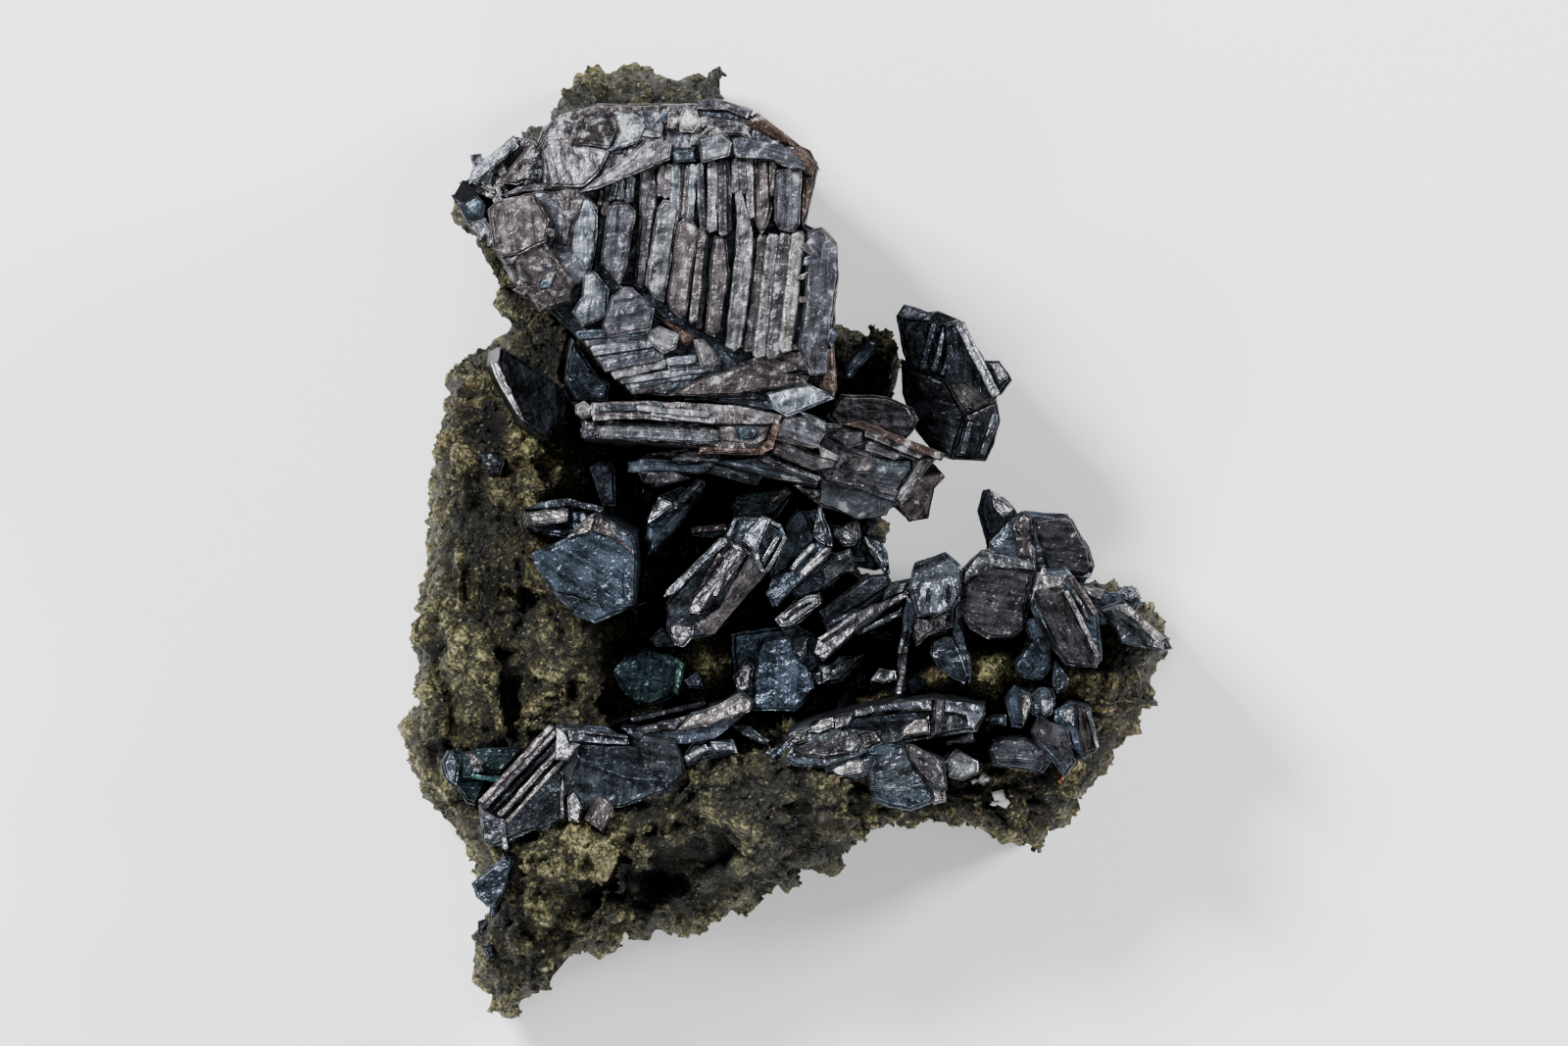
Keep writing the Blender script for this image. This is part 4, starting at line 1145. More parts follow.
# Right lobe group: ten plates and prisms of copper sulfide, grown into each other in a fan, with bright
# edges and brown faces. They are rooted in the rock of the right lobe.
grow_group("right_lobe_crystals", seed=40, root=ROOT, tint="blue", crystals=[
    ([(8.1, -1.5), (10.1, -0.8), (10.8, -1.4), (11.2, -1.8), (11, -3.9), (10.6, -4.4), (8.3, -5),
     (7.7, -3.2)], 17.6, (0.03, -0.05), (0, -0.4)),
    ([(7.6, -3.5), (8.4, -4.7), (7.8, -6.3), (7.5, -10), (6.9, -10.1), (7.1, -7.1)], 15.6, (0, 0.2),
     (0.3, 0)),
    ([(10.4, -4.2), (10.8, -4.3), (11.7, -8.8), (11.3, -9.3), (10.6, -9), (9.3, -7.9), (9, -5)], 14.8,
     (0.1, 0.25), (0, 0)),
    ([(11, -2.1), (12.4, -0.7), (15.8, -1.6), (15.9, -2.1), (15.4, -4.6), (15.1, -5.7), (14.4, -6.2),
     (12.8, -6.4), (11.6, -5.7), (10.9, -4.4)], 16.4, (0.06, 0), (0, 0)),
    ([(14.1, 1.3), (15, 1.8), (17.9, 1.6), (18.1, 1.3), (19.3, -0.5), (19.6, -1.7), (19.3, -2.5),
     (15.8, -2.4), (12.7, -0.9), (13.8, 1)], 15.0, (0, 0.05), (-0.4, -0.4)),
    ([(12.1, 1.8), (12.5, 3.1), (12.9, 3.2), (13.4, 2.9), (14.6, 1.9), (14.4, 0.6), (12.9, -0.9)], 13.2,
     (0, 0.1), (0.4, -0.8)),
    ([(15.6, -3.4), (15.8, -2.3), (16.6, -1.9), (17.9, -1.9), (19.8, -4.6), (20.1, -7.7), (19.6, -8.2),
     (17.7, -8), (16.9, -7), (15.5, -4.5)], 17.0, (-0.08, 0.12), (-0.3, 0.3)),
    ([(14.4, -8), (15.4, -6), (16.8, -6.7), (16.8, -8.4), (16.3, -9), (15, -8.9)], 14.4, (0, 0.2),
     (0, 0.2)),
    ([(18.4, -2.6), (20.3, -3.3), (21.6, -3.5), (22.6, -3.9), (22, -5), (20, -5.5)], 14.2, (0, 0),
     (0, -0.3)),
    ([(19.6, -4.4), (21.5, -3.9), (23.3, -5.6), (24.2, -6.3), (24.6, -7), (23.7, -7.2), (21.4, -6.3)], 15.2,
     (-0.05, 0), (-0.3, 0)),
], extras=[
    ("blue", 17.9, (0, -.5), [(8.2, -1.5), (10.1, -.9), (10, -1.2), (8.2, -1.85)]),
    ("silver", 18.1, (0, -.2), [(8.5, -2.7), (9.9, -2.35), (10.5, -2.3), (10.8, -3.6), (10.5, -4.2),
     (9.8, -4.8), (8.4, -4.9), (8.2, -4.2)]),
    ("dark", 18.3, (0, 0), (8.95, -4.2, 9.0, -3.1, .2)),
    ("dark", 18.3, (0, 0), (10.2, -4, 10.25, -2.9, .18)),
    ("brown", 16.8, (0, .5), [(8.1, -4.9), (9, -5), (10.6, -4.3), (10.6, -5.6), (9, -6.2), (8.2, -6.9),
     (7.9, -5.8)]),
    ("blue", 15.9, (-.2, .1), [(10.7, -4.3), (11.1, -4), (11.3, -6), (11.8, -8.5), (11.6, -9.3), (10.9, -7),
     (10.5, -6)]),
    ("blue", 15.7, (.15, .1), [(9.2, -6.5), (10, -6.1), (10.6, -6.1), (11.2, -7.4), (11.7, -8.7),
     (11.3, -9.3), (10.7, -9), (9.6, -8.2), (9.1, -7.3)]),
    ("silver", 16.3, (.3, 0), (7.15, -7.3, 7.6, -5.3, .2)),
    ("silver", 16.1, (.3, 0), (7.05, -9.9, 7.6, -6.9, .24)),
    ("silver", 17.0, (0, -.4), [(12.4, -.7), (15.8, -1.5), (15.9, -2.05), (12.4, -1.5), (11.3, -2.8),
     (11.3, -2.1)]),
    ("violet", 16.8, (.05, .1), [(11.2, -2.9), (12.3, -1.6), (15.6, -2.15), (15.2, -4.4), (15.1, -5.7),
     (14.2, -6.2), (12.9, -6.3), (11.3, -5.2), (11.1, -3.9)]),
    ("brown", 15.5, (0, .05), [(15.7, 1.2), (17.8, 1.5), (18.2, 1.2), (19.2, -.6), (19.5, -1.7), (19, -2.3),
     (16.6, -1.9), (16, 0)]),
    ("brown", 15.3, (.1, 0), [(14.2, .9), (15, 1.8), (15.6, 1.3), (15.9, -1.6), (14.7, -1.1)]),
    ("blue", 14.9, (0, .1), [(12.9, -.2), (14, 1), (14.4, -.9), (12.9, -.7)]),
    ("silver", 14.0, (.3, -.5), [(12.9, 3.2), (13.9, 2.6), (14.6, 1.9), (13.9, 1.2), (13.2, 2)]),
    ("silver", 17.6, (0, -.4), [(15.9, -2.1), (17.6, -2), (18, -2.2), (17.6, -3.1), (15.8, -3.4),
     (15.5, -4.1)]),
    ("brown", 17.5, (-.1, .1), [(15.8, -3.3), (17.6, -3.2), (19.9, -7.6), (19.7, -8.2), (17.8, -7.9),
     (17.2, -7), (16, -4.4)]),
    ("silver", 17.8, (-.3, 0), (19.85, -7.5, 17.75, -3.3, .26)),
    ("dark", 17.2, (0, 0), (19.4, -5.2, 18.3, -3.3, .3)),
    ("brown", 17.5, (-.2, -.1), (19.7, -4.8, 17.95, -2.3, .36)),
    ("silver", 17.4, (-.2, 0), (19.2, -5.1, 18.1, -3.2, .18)),
    ("dark", 16.9, (0, 0), (16.8, -7, 15.6, -4.3, .3)),
    ("blue", 16.6, (0, .1), [(15, -5.2), (15.9, -4.9), (16.8, -6.9), (16.4, -7.3), (15.4, -6.2)]),
    ("blue", 15.3, (0, .1), [(14.5, -7.9), (15.4, -6.6), (15.9, -6.3), (16.8, -7), (16.8, -8.3), (16.3, -9),
     (15.2, -8.9), (14.6, -8.5)]),
    ("blue", 15.2, (0, -.1), [(17, -7.6), (17.4, -8), (18, -8.9), (17.8, -9.5), (17.2, -9.9),
     (16.9, -9.2)]),
    ("silver", 14.9, (0, -.2), [(18.4, -2.7), (19.4, -3.1), (20.3, -3.2), (20.1, -3.9), (19.3, -3.7)]),
    ("silver", 14.9, (.1, -.3), [(21, -3.4), (21.6, -3), (22.3, -3.1), (22.6, -3.8), (21.9, -4),
     (21.4, -3.8)]),
    ("silver", 15.9, (-.2, -.2), [(20.9, -4.4), (21.6, -4.1), (24.1, -6.3), (23.5, -6.6), (22, -5)]),
    ("silver", 15.5, (0, -.3), [(23.1, -6.5), (23.4, -6.1), (24, -6.4), (24, -7.1), (23.2, -7)]),
    ("dark", 15.5, (.1, 0), [(20.9, -4.5), (22.6, -6), (22.9, -7), (21.3, -6.6), (20.8, -5.5)]),
])

# Rim crystals: a row of five small blocky crystals of copper sulfide in front of the right lobe. They
# are fast in the lobe's rim.
grow_group("rim_crystals", seed=41, root=8.4, tint="blue", crystals=[
    ([(14.1, -9.8), (14.5, -9.3), (15.6, -9.8), (15.8, -10.8), (14.9, -12.1), (14.3, -12), (13.9, -10.3)],
     15.6, (0, 0.1), (0, 0.3)),
    ([(15.5, -9.9), (16.1, -9.4), (16.9, -9.5), (17.1, -10.1), (17, -11.1), (16.5, -11.4), (15.6, -11.2)],
     15.8, (0, 0.1), (0, 0.2)),
    ([(17, -10.9), (18, -10.3), (19.2, -10.6), (19.4, -11.1), (19.8, -13.3), (18.9, -14), (17.8, -12.9),
     (17, -11.5)], 16.8, (0, 0.12), (0, 0.2)),
    ([(15.5, -12.2), (16, -11.2), (17.9, -12.1), (18.4, -14.2), (17.7, -15.2), (16.8, -14), (15.7, -12.9)],
     16.6, (0, 0.12), (0, 0.2)),
    ([(12.8, -13.3), (13.3, -12.6), (14.8, -12.5), (16.1, -13), (16.9, -14.1), (16.3, -14.9),
     (13.1, -14.4)], 16.0, (0, 0.1), (0, 0.2)),
], extras=[
    ("silver", 16.2, (-.3, -.1), [(15, -9.9), (15.5, -9.7), (15.7, -10.5), (15, -12), (14.9, -10.9)]),
    ("silver", 16.3, (.1, -.1), [(16.1, -10.2), (16.9, -10.1), (16.9, -11.1), (16.5, -11.3),
     (16.2, -11.1)]),
    ("blue", 15.6, (0, -.2), [(12.6, -11.5), (13, -11.2), (14, -11.1), (14, -11.9), (12.9, -11.9)]),
    ("silver", 17.2, (.2, -.2), [(17.3, -10.9), (18.2, -10.6), (18.3, -11.9), (17.4, -11.4)]),
    ("brown", 17.2, (-.1, 0), [(18.4, -10.5), (19.1, -10.7), (19.7, -13.5), (19, -13.8), (18.5, -12.4)]),
    ("silver", 17.5, (-.3, 0), (19.75, -13.3, 19.15, -10.9, .18)),
    ("brown", 16.9, (0, .1), [(15.6, -12.2), (16.1, -11.4), (17.9, -12), (18.3, -14), (17.6, -13.8),
     (17.2, -13.2), (15.8, -12.8)]),
    ("violet", 16.3, (0, .05), [(12.8, -13.4), (13.1, -12.7), (15.2, -12.6), (16.4, -13.4), (16.8, -14.1),
     (15.1, -14.2), (13.3, -14.1)]),
])

# Arch group: long crystals of copper sulfide that make an arch over the ledge, with blocks below it,
# all grown together. They are fast in the ledge.
grow_group("arch_crystals", seed=42, root=8.0, tint="blue", crystals=[
    ([(-1.2, -13.8), (0.2, -12.3), (1.6, -11.6), (4.3, -10.9), (6.8, -10.3), (9.6, -10.1), (12.6, -10.6),
     (12.6, -11.1), (12.1, -12.2), (9.8, -12.5), (6.4, -13.2), (1, -14.3)], 18.4, (0.02, -0.15), (0, 0.6)),
    ([(0.3, -13.3), (4.4, -12.4), (5.4, -12.2), (6.4, -13), (4.4, -14), (2.7, -14.6), (0.4, -14.4),
     (-0.3, -14)], 19.0, (0, -0.1), (0, 0.4)),
    ([(2.2, -14.4), (5, -13.8), (7.6, -12.9), (6.4, -14.8), (4.4, -15.4), (2.4, -15)], 18.9, (0, 0.1),
     (0, 0.4)),
    ([(5.1, -15), (6.2, -14), (7.6, -13), (10, -14), (10.2, -15.9), (9.1, -16.9), (7.8, -17.3), (6.4, -17),
     (5.4, -16.6)], 18.6, (0.02, 0.15), (0, 0.5)),
    ([(9.6, -14), (10.6, -13.4), (12.2, -14.2), (12.2, -14.9), (11.2, -15.4), (9.8, -15)], 16.2, (0, 0),
     (0, 0)),
], extras=[
    ("silver", 18.7, (.1, -.5), [(1.4, -12.2), (2.1, -11.5), (2.9, -11.3), (3, -11.9), (2, -12.3)]),
    ("silver", 18.8, (0, -.4), [(3.05, -11.4), (3.9, -11.2), (4.2, -11), (4.2, -11.4), (3.8, -11.9),
     (3.1, -12)]),
    ("violet", 19.0, (0, -.4), [(4.3, -10.9), (5.5, -10.5), (9.3, -10.1), (9.3, -10.9), (6.4, -10.9),
     (4.3, -11.3)]),
    ("violet", 19.1, (-.2, 0), [(9.4, -10.1), (10, -10.2), (9.9, -12.3), (9.2, -12.5)]),
    ("silver", 19.0, (0, -.3), [(10.1, -10.2), (12.6, -10.6), (12.4, -11.2), (11.9, -12.1), (11.6, -11.9),
     (11.4, -11.2), (10, -10.9)]),
    ("dark", 18.5, (0, .2), [(3.4, -12.1), (4.5, -11.3), (9.2, -10.9), (9.1, -12.4), (6.9, -12.9),
     (5.9, -12.3), (4.4, -12.1)]),
    ("silver", 18.8, (.1, -.1), [(7.3, -12), (8.1, -11.3), (9.1, -11.2), (9.1, -12.3), (7.2, -12.7)]),
    ("silver", 18.7, (0, -.3), [(0, -12.8), (.6, -12.2), (1.3, -12.2), (1.2, -12.9), (.5, -13.1)]),
    ("blue", 18.6, (0, -.2), [(-1.1, -13.8), (-.1, -13), (.6, -13), (.1, -13.6), (-.9, -14)]),
    ("violet", 19.3, (0, -.2), [(.3, -13.2), (2.4, -12.8), (4.5, -12.3), (4.7, -13), (4.4, -13.6),
     (2.6, -13.9), (.5, -13.7)]),
    ("silver", 19.3, (0, -.1), [(4.6, -12.3), (5.5, -12.2), (6, -12.8), (4.9, -13.3)]),
    ("blue", 19.1, (0, -.1), [(5, -13.2), (6, -12.9), (7.4, -13.1), (7.2, -13.9), (5, -13.9)]),
    ("silver", 19.0, (.1, -.2), [(2.5, -14.7), (3.9, -14), (5, -14), (4.8, -14.8), (3.4, -15.2)]),
    ("blue", 19.1, (.1, .1), [(5.1, -14.8), (5.4, -14), (7.5, -13), (8.1, -14.6), (8.9, -15.7), (7.4, -16),
     (5.2, -15.9)]),
    ("brown", 19.2, (-.2, -.1), [(7.5, -13), (8, -13), (9.9, -14), (10.1, -15), (10.2, -15.9), (9.6, -15.8),
     (8.9, -15.5), (7.7, -13.9)]),
    ("silver", 18.6, (0, 0), [(9, -15.6), (10.1, -15.9), (10.1, -16.7), (9.3, -16.9)]),
    ("silver", 17.1, (0, -.2), [(10, -14.2), (10.7, -13.3), (12.2, -14.1), (12.2, -14.8), (11, -15.3),
     (10.2, -15.1)]),
    ("violet", 16.8, (0, 0), [(10.1, -12.8), (11.8, -12.3), (12, -12.9), (10.2, -13.1)]),
])

# Book group: crystals of copper sulfide at the lower left whose stacked layers look like a book's pages,
# with a long dark face beside them. They are fast in the ledge.
grow_group("book_crystals", seed=43, root=9.4, tint="blue", crystals=[
    ([(-14.6, -11.7), (-19.6, -17), (-19.3, -19.3), (-18.3, -19.5), (-14.4, -17.8), (-13, -14),
     (-13.6, -12.2)], 19.0, (0.1, -0.02), (0.2, 0.2)),
    ([(-14.6, -11.7), (-11.4, -11.9), (-10, -13), (-12.7, -13.2), (-14.2, -12.9)], 18.8, (0, -0.15),
     (0, 0)),
    ([(-14.3, -12.9), (-10, -13), (-9.2, -12.4), (-7.2, -12.6), (-6.6, -14), (-6.5, -14.9), (-7.1, -15.9),
     (-8.3, -16.3), (-10.3, -17), (-12.7, -17.4), (-14.5, -17.6)], 18.9, (0, 0.1), (0, 0.2)),
    ([(-10.6, -12), (-7.6, -12), (-6.1, -11), (-3.9, -10.4), (-2.9, -9.7), (-2.1, -10.4), (-2.3, -10.9),
     (-4.6, -12.7), (-6.4, -13), (-9, -13)], 19.2, (0, -0.12), (0, 0.3)),
    ([(-6.7, -13.8), (-6, -12.9), (-3.4, -12.7), (-3.1, -13.6), (-4.3, -13.9), (-6.4, -14.4)], 18.7,
     (0, -0.1), (0, 0.4)),
], extras=[
    ("violet", 19.6, (.2, -.2), (-19.5, -16.8, -14.9, -11.8, .34)),
    ("violet", 19.7, (.2, -.2), (-19.2, -17.05, -14.7, -12.2, .28)),
    ("dark", 19.4, (.2, -.2), (-18.8, -17.2, -14.6, -12.7, .3)),
    ("silver", 19.8, (.2, -.2), (-18.3, -17.6, -14.3, -13.2, .28)),
    ("silver", 19.6, (.2, -.1), (-17.9, -18, -14.1, -13.9, .24)),
    ("silver", 20.0, (.2, -.3), [(-14.7, -12), (-14.2, -12.1), (-13.8, -12.9), (-13.1, -13), (-13.9, -14.1),
     (-14.8, -14)]),
    ("blue", 19.5, (0, -.3), [(-14, -12), (-12.8, -12.1), (-10.1, -12.5), (-10, -13), (-13, -12.9),
     (-14, -13)]),
    ("silver", 19.8, (0, -.3), (-13, -12.2, -10.2, -12.55, .14)),
    ("silver", 19.6, (0, -.3), (-12.8, -12.8, -10.2, -12.95, .14)),
    ("dark", 19.4, (.05, .1), [(-13.1, -12.9), (-9.6, -13), (-9.1, -12.4), (-7.1, -12.6), (-6.7, -14),
     (-6.5, -15), (-7.2, -15.6), (-10, -15.4), (-13.7, -14.2)]),
    ("dark", 19.7, (0, .1), [(-9.6, -13), (-9.1, -12.4), (-7.1, -12.6), (-6.6, -14), (-6.6, -15),
     (-9.2, -14.8)]),
    ("dark", 19.3, (.1, .2), [(-14.8, -14.7), (-14.2, -15), (-14.4, -18), (-15.5, -18.5), (-17.8, -18.4),
     (-17.9, -17.6)]),
    ("silver", 19.6, (.2, 0), (-14.3, -17.8, -14.35, -14.8, .18)),
    ("violet", 18.8, (.2, .3), [(-19.6, -16.9), (-18, -17.8), (-18, -19.4), (-19.3, -19.2), (-19.5, -18)]),
    ("silver", 19.1, (.2, 0), (-17.9, -19.7, -18.1, -17.8, .26)),
    ("silver", 19.9, (.2, -.2), [(-14, -16.4), (-13.5, -16), (-13, -17), (-13.2, -18), (-13.9, -17.9)]),
    ("violet", 20.0, (0, -.1), [(-12.9, -17.8), (-12.3, -16.4), (-11.8, -16.3), (-11, -17), (-11.1, -17.6),
     (-11.8, -18.6), (-12.6, -18)]),
    ("silver", 19.8, (.05, -.2), [(-6.2, -11.2), (-4.4, -10.5), (-3, -9.7), (-2.1, -10.4), (-2.4, -11),
     (-3.6, -11.4), (-5, -11.9), (-7, -12.1)]),
    ("violet", 19.6, (0, -.1), [(-9.8, -12), (-6.4, -11.2), (-7, -12.1), (-9, -12.4)]),
    ("dark", 19.5, (0, -.1), (-9.9, -11.5, -5.2, -10.4, .2)),
    ("silver", 19.2, (.1, -.3), [(-6.6, -13.8), (-5.2, -13), (-4.9, -13.4), (-6.3, -14.2)]),
    ("silver", 19.3, (0, -.3), [(-5, -12.8), (-3.4, -12.9), (-3.1, -13.6), (-4.6, -13.5)]),
    ("blue", 18.4, (.1, -.3), [(-3.5, -11.9), (-2.4, -11.9), (-1.1, -12.8), (-1.6, -13), (-2.9, -12.5)]),
    ("blue", 18.2, (.1, -.2), [(-1.6, -13.6), (-.9, -13.8), (0, -13), (-.4, -12.9)]),
    ("blue", 19.1, (0, .3), [(-7, -12.2), (-5.1, -12), (-4.9, -12.5), (-6.4, -12.9), (-7.1, -12.8)]),
])

# Teal plate: one flat copper sulfide crystal with a teal tarnish and a green edge, lying in the hollow
# below the left plate. It has grown on the rock.
grow_group("teal_crystal", seed=44, root=8.6, tint="teal", crystals=[
    ([(-11.2, -8.5), (-10.3, -7.4), (-8.9, -6.9), (-7.7, -7.2), (-6.6, -7.9), (-6.8, -9.4), (-7.2, -10.1),
     (-8.6, -10.6), (-9.5, -10.6), (-10.6, -9.6)], 13.6, (0.02, 0.05), (0, 0)),
], extras=[
    ("jade", 14.3, (-.2, -.1), [(-7.1, -7.6), (-6.5, -8), (-6.9, -10), (-7.3, -9.8)]),
    ("blue", 14.4, (0, -.1), [(-6.6, -9), (-5.7, -8.4), (-5.3, -9.5), (-6.2, -9.5)]),
])

# Corner crystals: a pair of small copper sulfide crystals with a teal tarnish at the left corner, and a
# sliver below them. They have grown on the left wall's lower end.
grow_group("corner_crystals", seed=45, root=11.0, tint="teal", crystals=[
    ([(-22.1, -14.2), (-21.6, -13.4), (-20.5, -13.5), (-20.5, -15.3), (-21.3, -15.8), (-21.9, -15.1)], 15.6,
     (0, 0), (0, 0)),
    ([(-20.8, -13.6), (-19.4, -13.3), (-17.2, -13.2), (-17, -13.6), (-18.4, -15.2), (-20.7, -15.2)], 15.9,
     (0, 0), (0, 0)),
    ([(-21.4, -15.4), (-19, -15), (-19.8, -17), (-20.4, -16.8)], 14.6, (0, 0), (0, 0)),
], extras=[
    ("blue", 16.2, (.1, -.1), [(-22, -14.2), (-21.6, -13.5), (-21.2, -13.4), (-20.9, -14.4), (-21, -15.7),
     (-21.7, -15.2)]),
    ("silver", 16.4, (.1, -.1), [(-20.5, -13.7), (-20, -13.5), (-19.3, -14.2), (-19.3, -14.8),
     (-20, -14.9)], .2),
    ("jade", 16.4, (0, -.1), (-20.1, -15.05, -18.2, -15.4, .24)),
])

# Foot crystal: one small dark crystal of copper sulfide that stands out from the foot's left side. It
# is rooted in the rock of the foot.
grow_group("foot_crystal", seed=46, root=10.5, tint="blue", crystals=[
    ([(-18.1, -20), (-18.3, -20.4), (-20.1, -21.9), (-19.8, -22.8), (-19.1, -23.4), (-18.6, -23.4),
     (-17.7, -21.8), (-17.3, -20)], 17.2, (0.2, 0), (0.3, 0)),
])


# Small crystals: flat copper sulfide crystals too small to name, on the floor of the hollow between the
# large ones, and six more on the wall, beside the teal plate and on the foot. They are fast on the rock.
SMALL_TRIES = 150
SMALL_LOW, SMALL_HIGH = (-11, -11), (9, 5)  # corners of the box in which places are drawn
OUTLINE_MARGIN = 0.96
BARE_X, BARE_Y = -2.5, -6   # left of and below these the rock shows bare beside the teal plate
SMALL_SINK = 1.2            # how far they reach into the rock
STRAYS = [  # tint, slope, corners
    ("dark", (.2, .1), [(-19.9, 5.5), (-18.8, 5.6), (-18.0, 4.9), (-18.2, 4.1), (-19.2, 4.3), (-19.8, 4.8)]),
    ("dark", (.1, .1), [(-19.8, -24.5), (-19.2, -24.3), (-18.8, -25.1), (-19.3, -25.7), (-19.8, -25.3)]),
    ("blue", (.1, .2), [(-19.0, -23.4), (-18.4, -23.4), (-18.2, -24.2), (-18.6, -24.6), (-19.1, -24.2)]),
    ("dark", (.2, .1), [(-19.5, -26.0), (-18.8, -25.9), (-18.6, -26.6), (-19.1, -26.9)]),
    ("dark", (.1, .1), [(-19.8, -27.0), (-19.2, -27.0), (-19.1, -27.9), (-19.6, -28.0)]),
    ("blue", (.1, .2), [(-6.2, -9.8), (-5.3, -9.6), (-5.0, -10.6), (-5.9, -10.9)]),
]
STRAY_RISE, STRAY_SINK = 0.8, 1.5  # how far they stand above the rock and reach into it


def on_rock(x, y):
    """Whether a place is well within the rock's outline: it lies left of an odd number of sides."""
    a = (np.array(OUTLINE) - CENTRE) * OUTLINE_MARGIN + CENTRE
    b = np.roll(a, -1, 0)
    across = (a[:, 1] > y) != (b[:, 1] > y)
    side = a[:, 0] + (y - a[:, 1]) / np.where(across, b[:, 1] - a[:, 1], 1) * (b[:, 0] - a[:, 0])
    return (across & (side > x)).sum() % 2 == 1


def ground(x, y):
    """Height of the rock's front at a place: that of the nearest point of its surface."""
    rock_front = surface[:GRID[1]].reshape(-1, 3)
    return rock_front[((rock_front[:, :2] - (x, y)) ** 2).sum(1).argmin(), 2]


def plate(angles, narrow, size, turn, place):
    """Corners of a flat plate: points at angles on an ellipse of half length size, turned, at a place."""
    local = np.c_[np.cos(angles), np.sin(angles) * narrow] * size
    rot = np.array([[math.cos(turn), -math.sin(turn)], [math.sin(turn), math.cos(turn)]])
    return local @ rot.T + place


small = Cluster(seed=91)
for _ in range(SMALL_TRIES):
    x, y = small.rng.uniform(SMALL_LOW, SMALL_HIGH)
    size = small.rng.uniform(0.5, 1.3)
    if not on_rock(x, y) or (x < BARE_X and y < BARE_Y):
        continue
    turn = small.rng.uniform(0, math.pi)
    angles = np.arange(6) * math.pi / 3 + small.rng.uniform(-0.2, 0.2, 6)
    corners = plate(angles, small.rng.uniform(0.25, 0.9), size, turn, (x, y))
    base = ground(x, y)
    small.add(corners, base + small.rng.uniform(0.2, 1.4), small.rng.uniform(-0.7, 0.7, 2),
              small.rng.uniform(-0.4, 0.4, 2), base - SMALL_SINK, tint="dark",
              tread=0.05, riser=0.12, bevel=0.04)
for tint, slope, corners in STRAYS:
    base = ground(*np.mean(corners, axis=0))
    draw(small, [(tint, base + STRAY_RISE, slope, corners)], base - STRAY_SINK)
small.finish("hollow_small_crystals")


# Chips: flakes of the crown's own metallic skin, of the same copper sulfide, over its rough dome, its
# left wing, its right plate and its left plates. They are part of the skin and fast on it.
CHIP_PATCHES = [  # low and high corner of a patch, chips tried, height there
    ((-15.2, 24.8), (-2.5, 27.2), 46, 21.7),
    ((-20.6, 20), (-17.6, 24.2), 16, 18.6),
    ((.9, 12.5), (2.9, 18.6), 12, 22.75),
    ((-18.4, 15.5), (-14, 21.3), 12, 22.6),
]
CHIP_TINTS = ["silver", "violet", "blue", "violet"]
CHIP_FLAKE = .88
CHIP_SINK = 1.5         # how far a chip reaches into the crown
WIDEST_GAP = 2.6        # a chip with a wider gap than this between two corners' angles is left out

chips = Cluster(seed=61)
chip_rng = chips.rng
for low, high, count, z in CHIP_PATCHES:
    for _ in range(count):
        place = chip_rng.uniform(low, high)
        turn, size = chip_rng.uniform(0, math.pi), chip_rng.uniform(.35, 1.0)
        angles = np.sort(chip_rng.uniform(0, 2 * math.pi, 5))
        if np.diff(np.r_[angles, angles[0] + 2 * math.pi]).max() > WIDEST_GAP:
            continue
        chips.add(plate(angles, .55, size, turn, place), z + chip_rng.uniform(-.1, .25),
                  chip_rng.uniform(-.25, .2, 2), (0, 0), z - CHIP_SINK, tint=str(chip_rng.choice(CHIP_TINTS)),
                  steps=0, bevel=.04, flake=CHIP_FLAKE)
chips.finish("crown_chips")


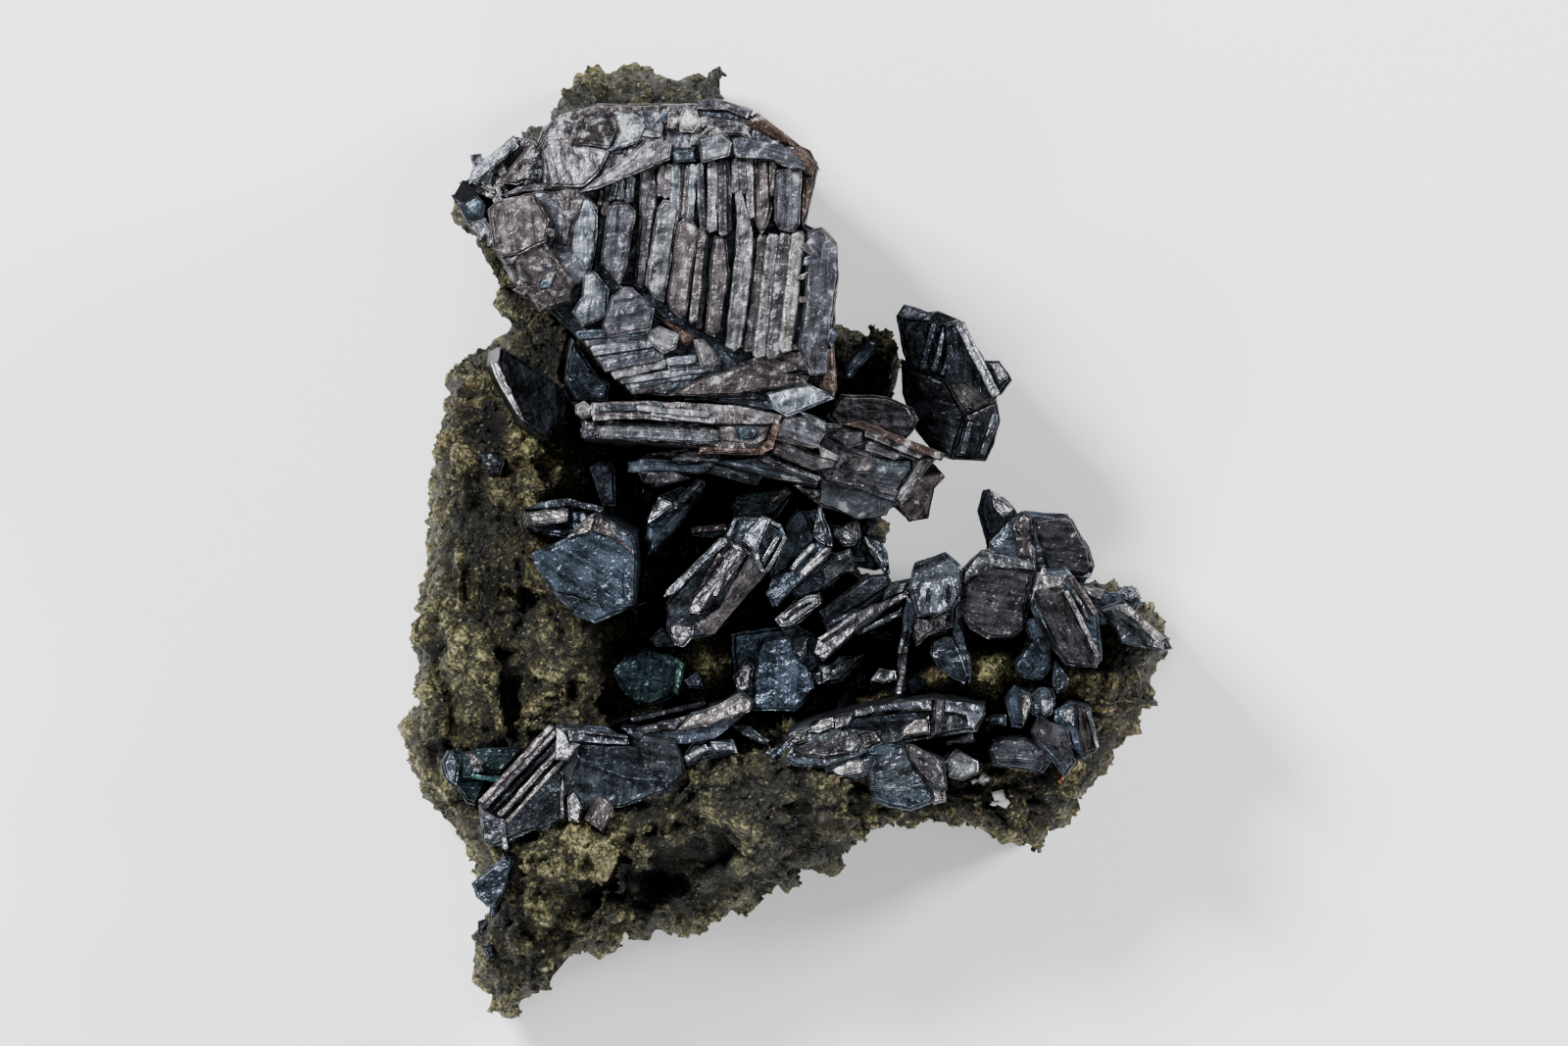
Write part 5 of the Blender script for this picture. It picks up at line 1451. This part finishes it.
# Floor, light and camera: a plain pale matt floor under the specimen, a strong soft light beyond its upper
# left, weaker ones from the right, the foot and above, and a camera that looks straight down. Here in metres.
CAMERA_HEIGHT = 1.6
FRAME_WIDTH = 0.100     # width of what the picture shows at the middle of the specimen
SENSOR_WIDTH = 36       # of the camera, in its own millimetres
LOOK_AT = (-0.00019, 0.00103, 0.014)
LIGHT_AIM = (0, 0, 0.01)
LIGHTS = [  # name, place, side of the square, watts
    ("key", (-0.24, 0.22, 0.34), 0.12, 6.2),
    ("side", (0.34, 0.14, 0.22), 0.10, 3.0),
    ("front", (-0.10, -0.36, 0.26), 0.14, 1.8),
    ("top", (0.10, -0.06, 0.70), 0.30, 0.8),
]

floor_mesh = bpy.data.meshes.new("floor")
floor_mesh.from_pydata([(-2, -2, 0), (2, -2, 0), (2, 2, 0), (-2, 2, 0)], [], [(0, 1, 2, 3)])
floor = bpy.data.objects.new("floor", floor_mesh)
floor_mat = bpy.data.materials.new("floor")
floor_mat.use_nodes = True
floor_mat.node_tree.nodes["Principled BSDF"].inputs["Base Color"].default_value = (0.86, 0.86, 0.86, 1)
floor_mat.node_tree.nodes["Principled BSDF"].inputs["Roughness"].default_value = 0.8
floor_mesh.materials.append(floor_mat)
bpy.context.scene.collection.objects.link(floor)

for name, place, size, watts in LIGHTS:
    light = bpy.data.lights.new(name, "AREA")
    light.size, light.energy = size, watts
    ob = bpy.data.objects.new(name, light)
    ob.location = place
    ob.rotation_euler = (Vector(LIGHT_AIM) - Vector(place)).to_track_quat("-Z", "Y").to_euler()
    bpy.context.scene.collection.objects.link(ob)
world = bpy.data.worlds.new("world")
world.use_nodes = True
world.node_tree.nodes["Background"].inputs["Color"].default_value = (0.9, 0.95, 1.0, 1)
world.node_tree.nodes["Background"].inputs["Strength"].default_value = 0.10
bpy.context.scene.world = world

camera_data = bpy.data.cameras.new("camera")
camera_data.sensor_width = SENSOR_WIDTH
camera_data.lens = camera_data.sensor_width * (CAMERA_HEIGHT - LOOK_AT[2]) / FRAME_WIDTH
camera_data.clip_start = 0.01
camera = bpy.data.objects.new("camera", camera_data)
camera.location = (LOOK_AT[0], LOOK_AT[1], CAMERA_HEIGHT)
bpy.context.scene.collection.objects.link(camera)
bpy.context.scene.camera = camera
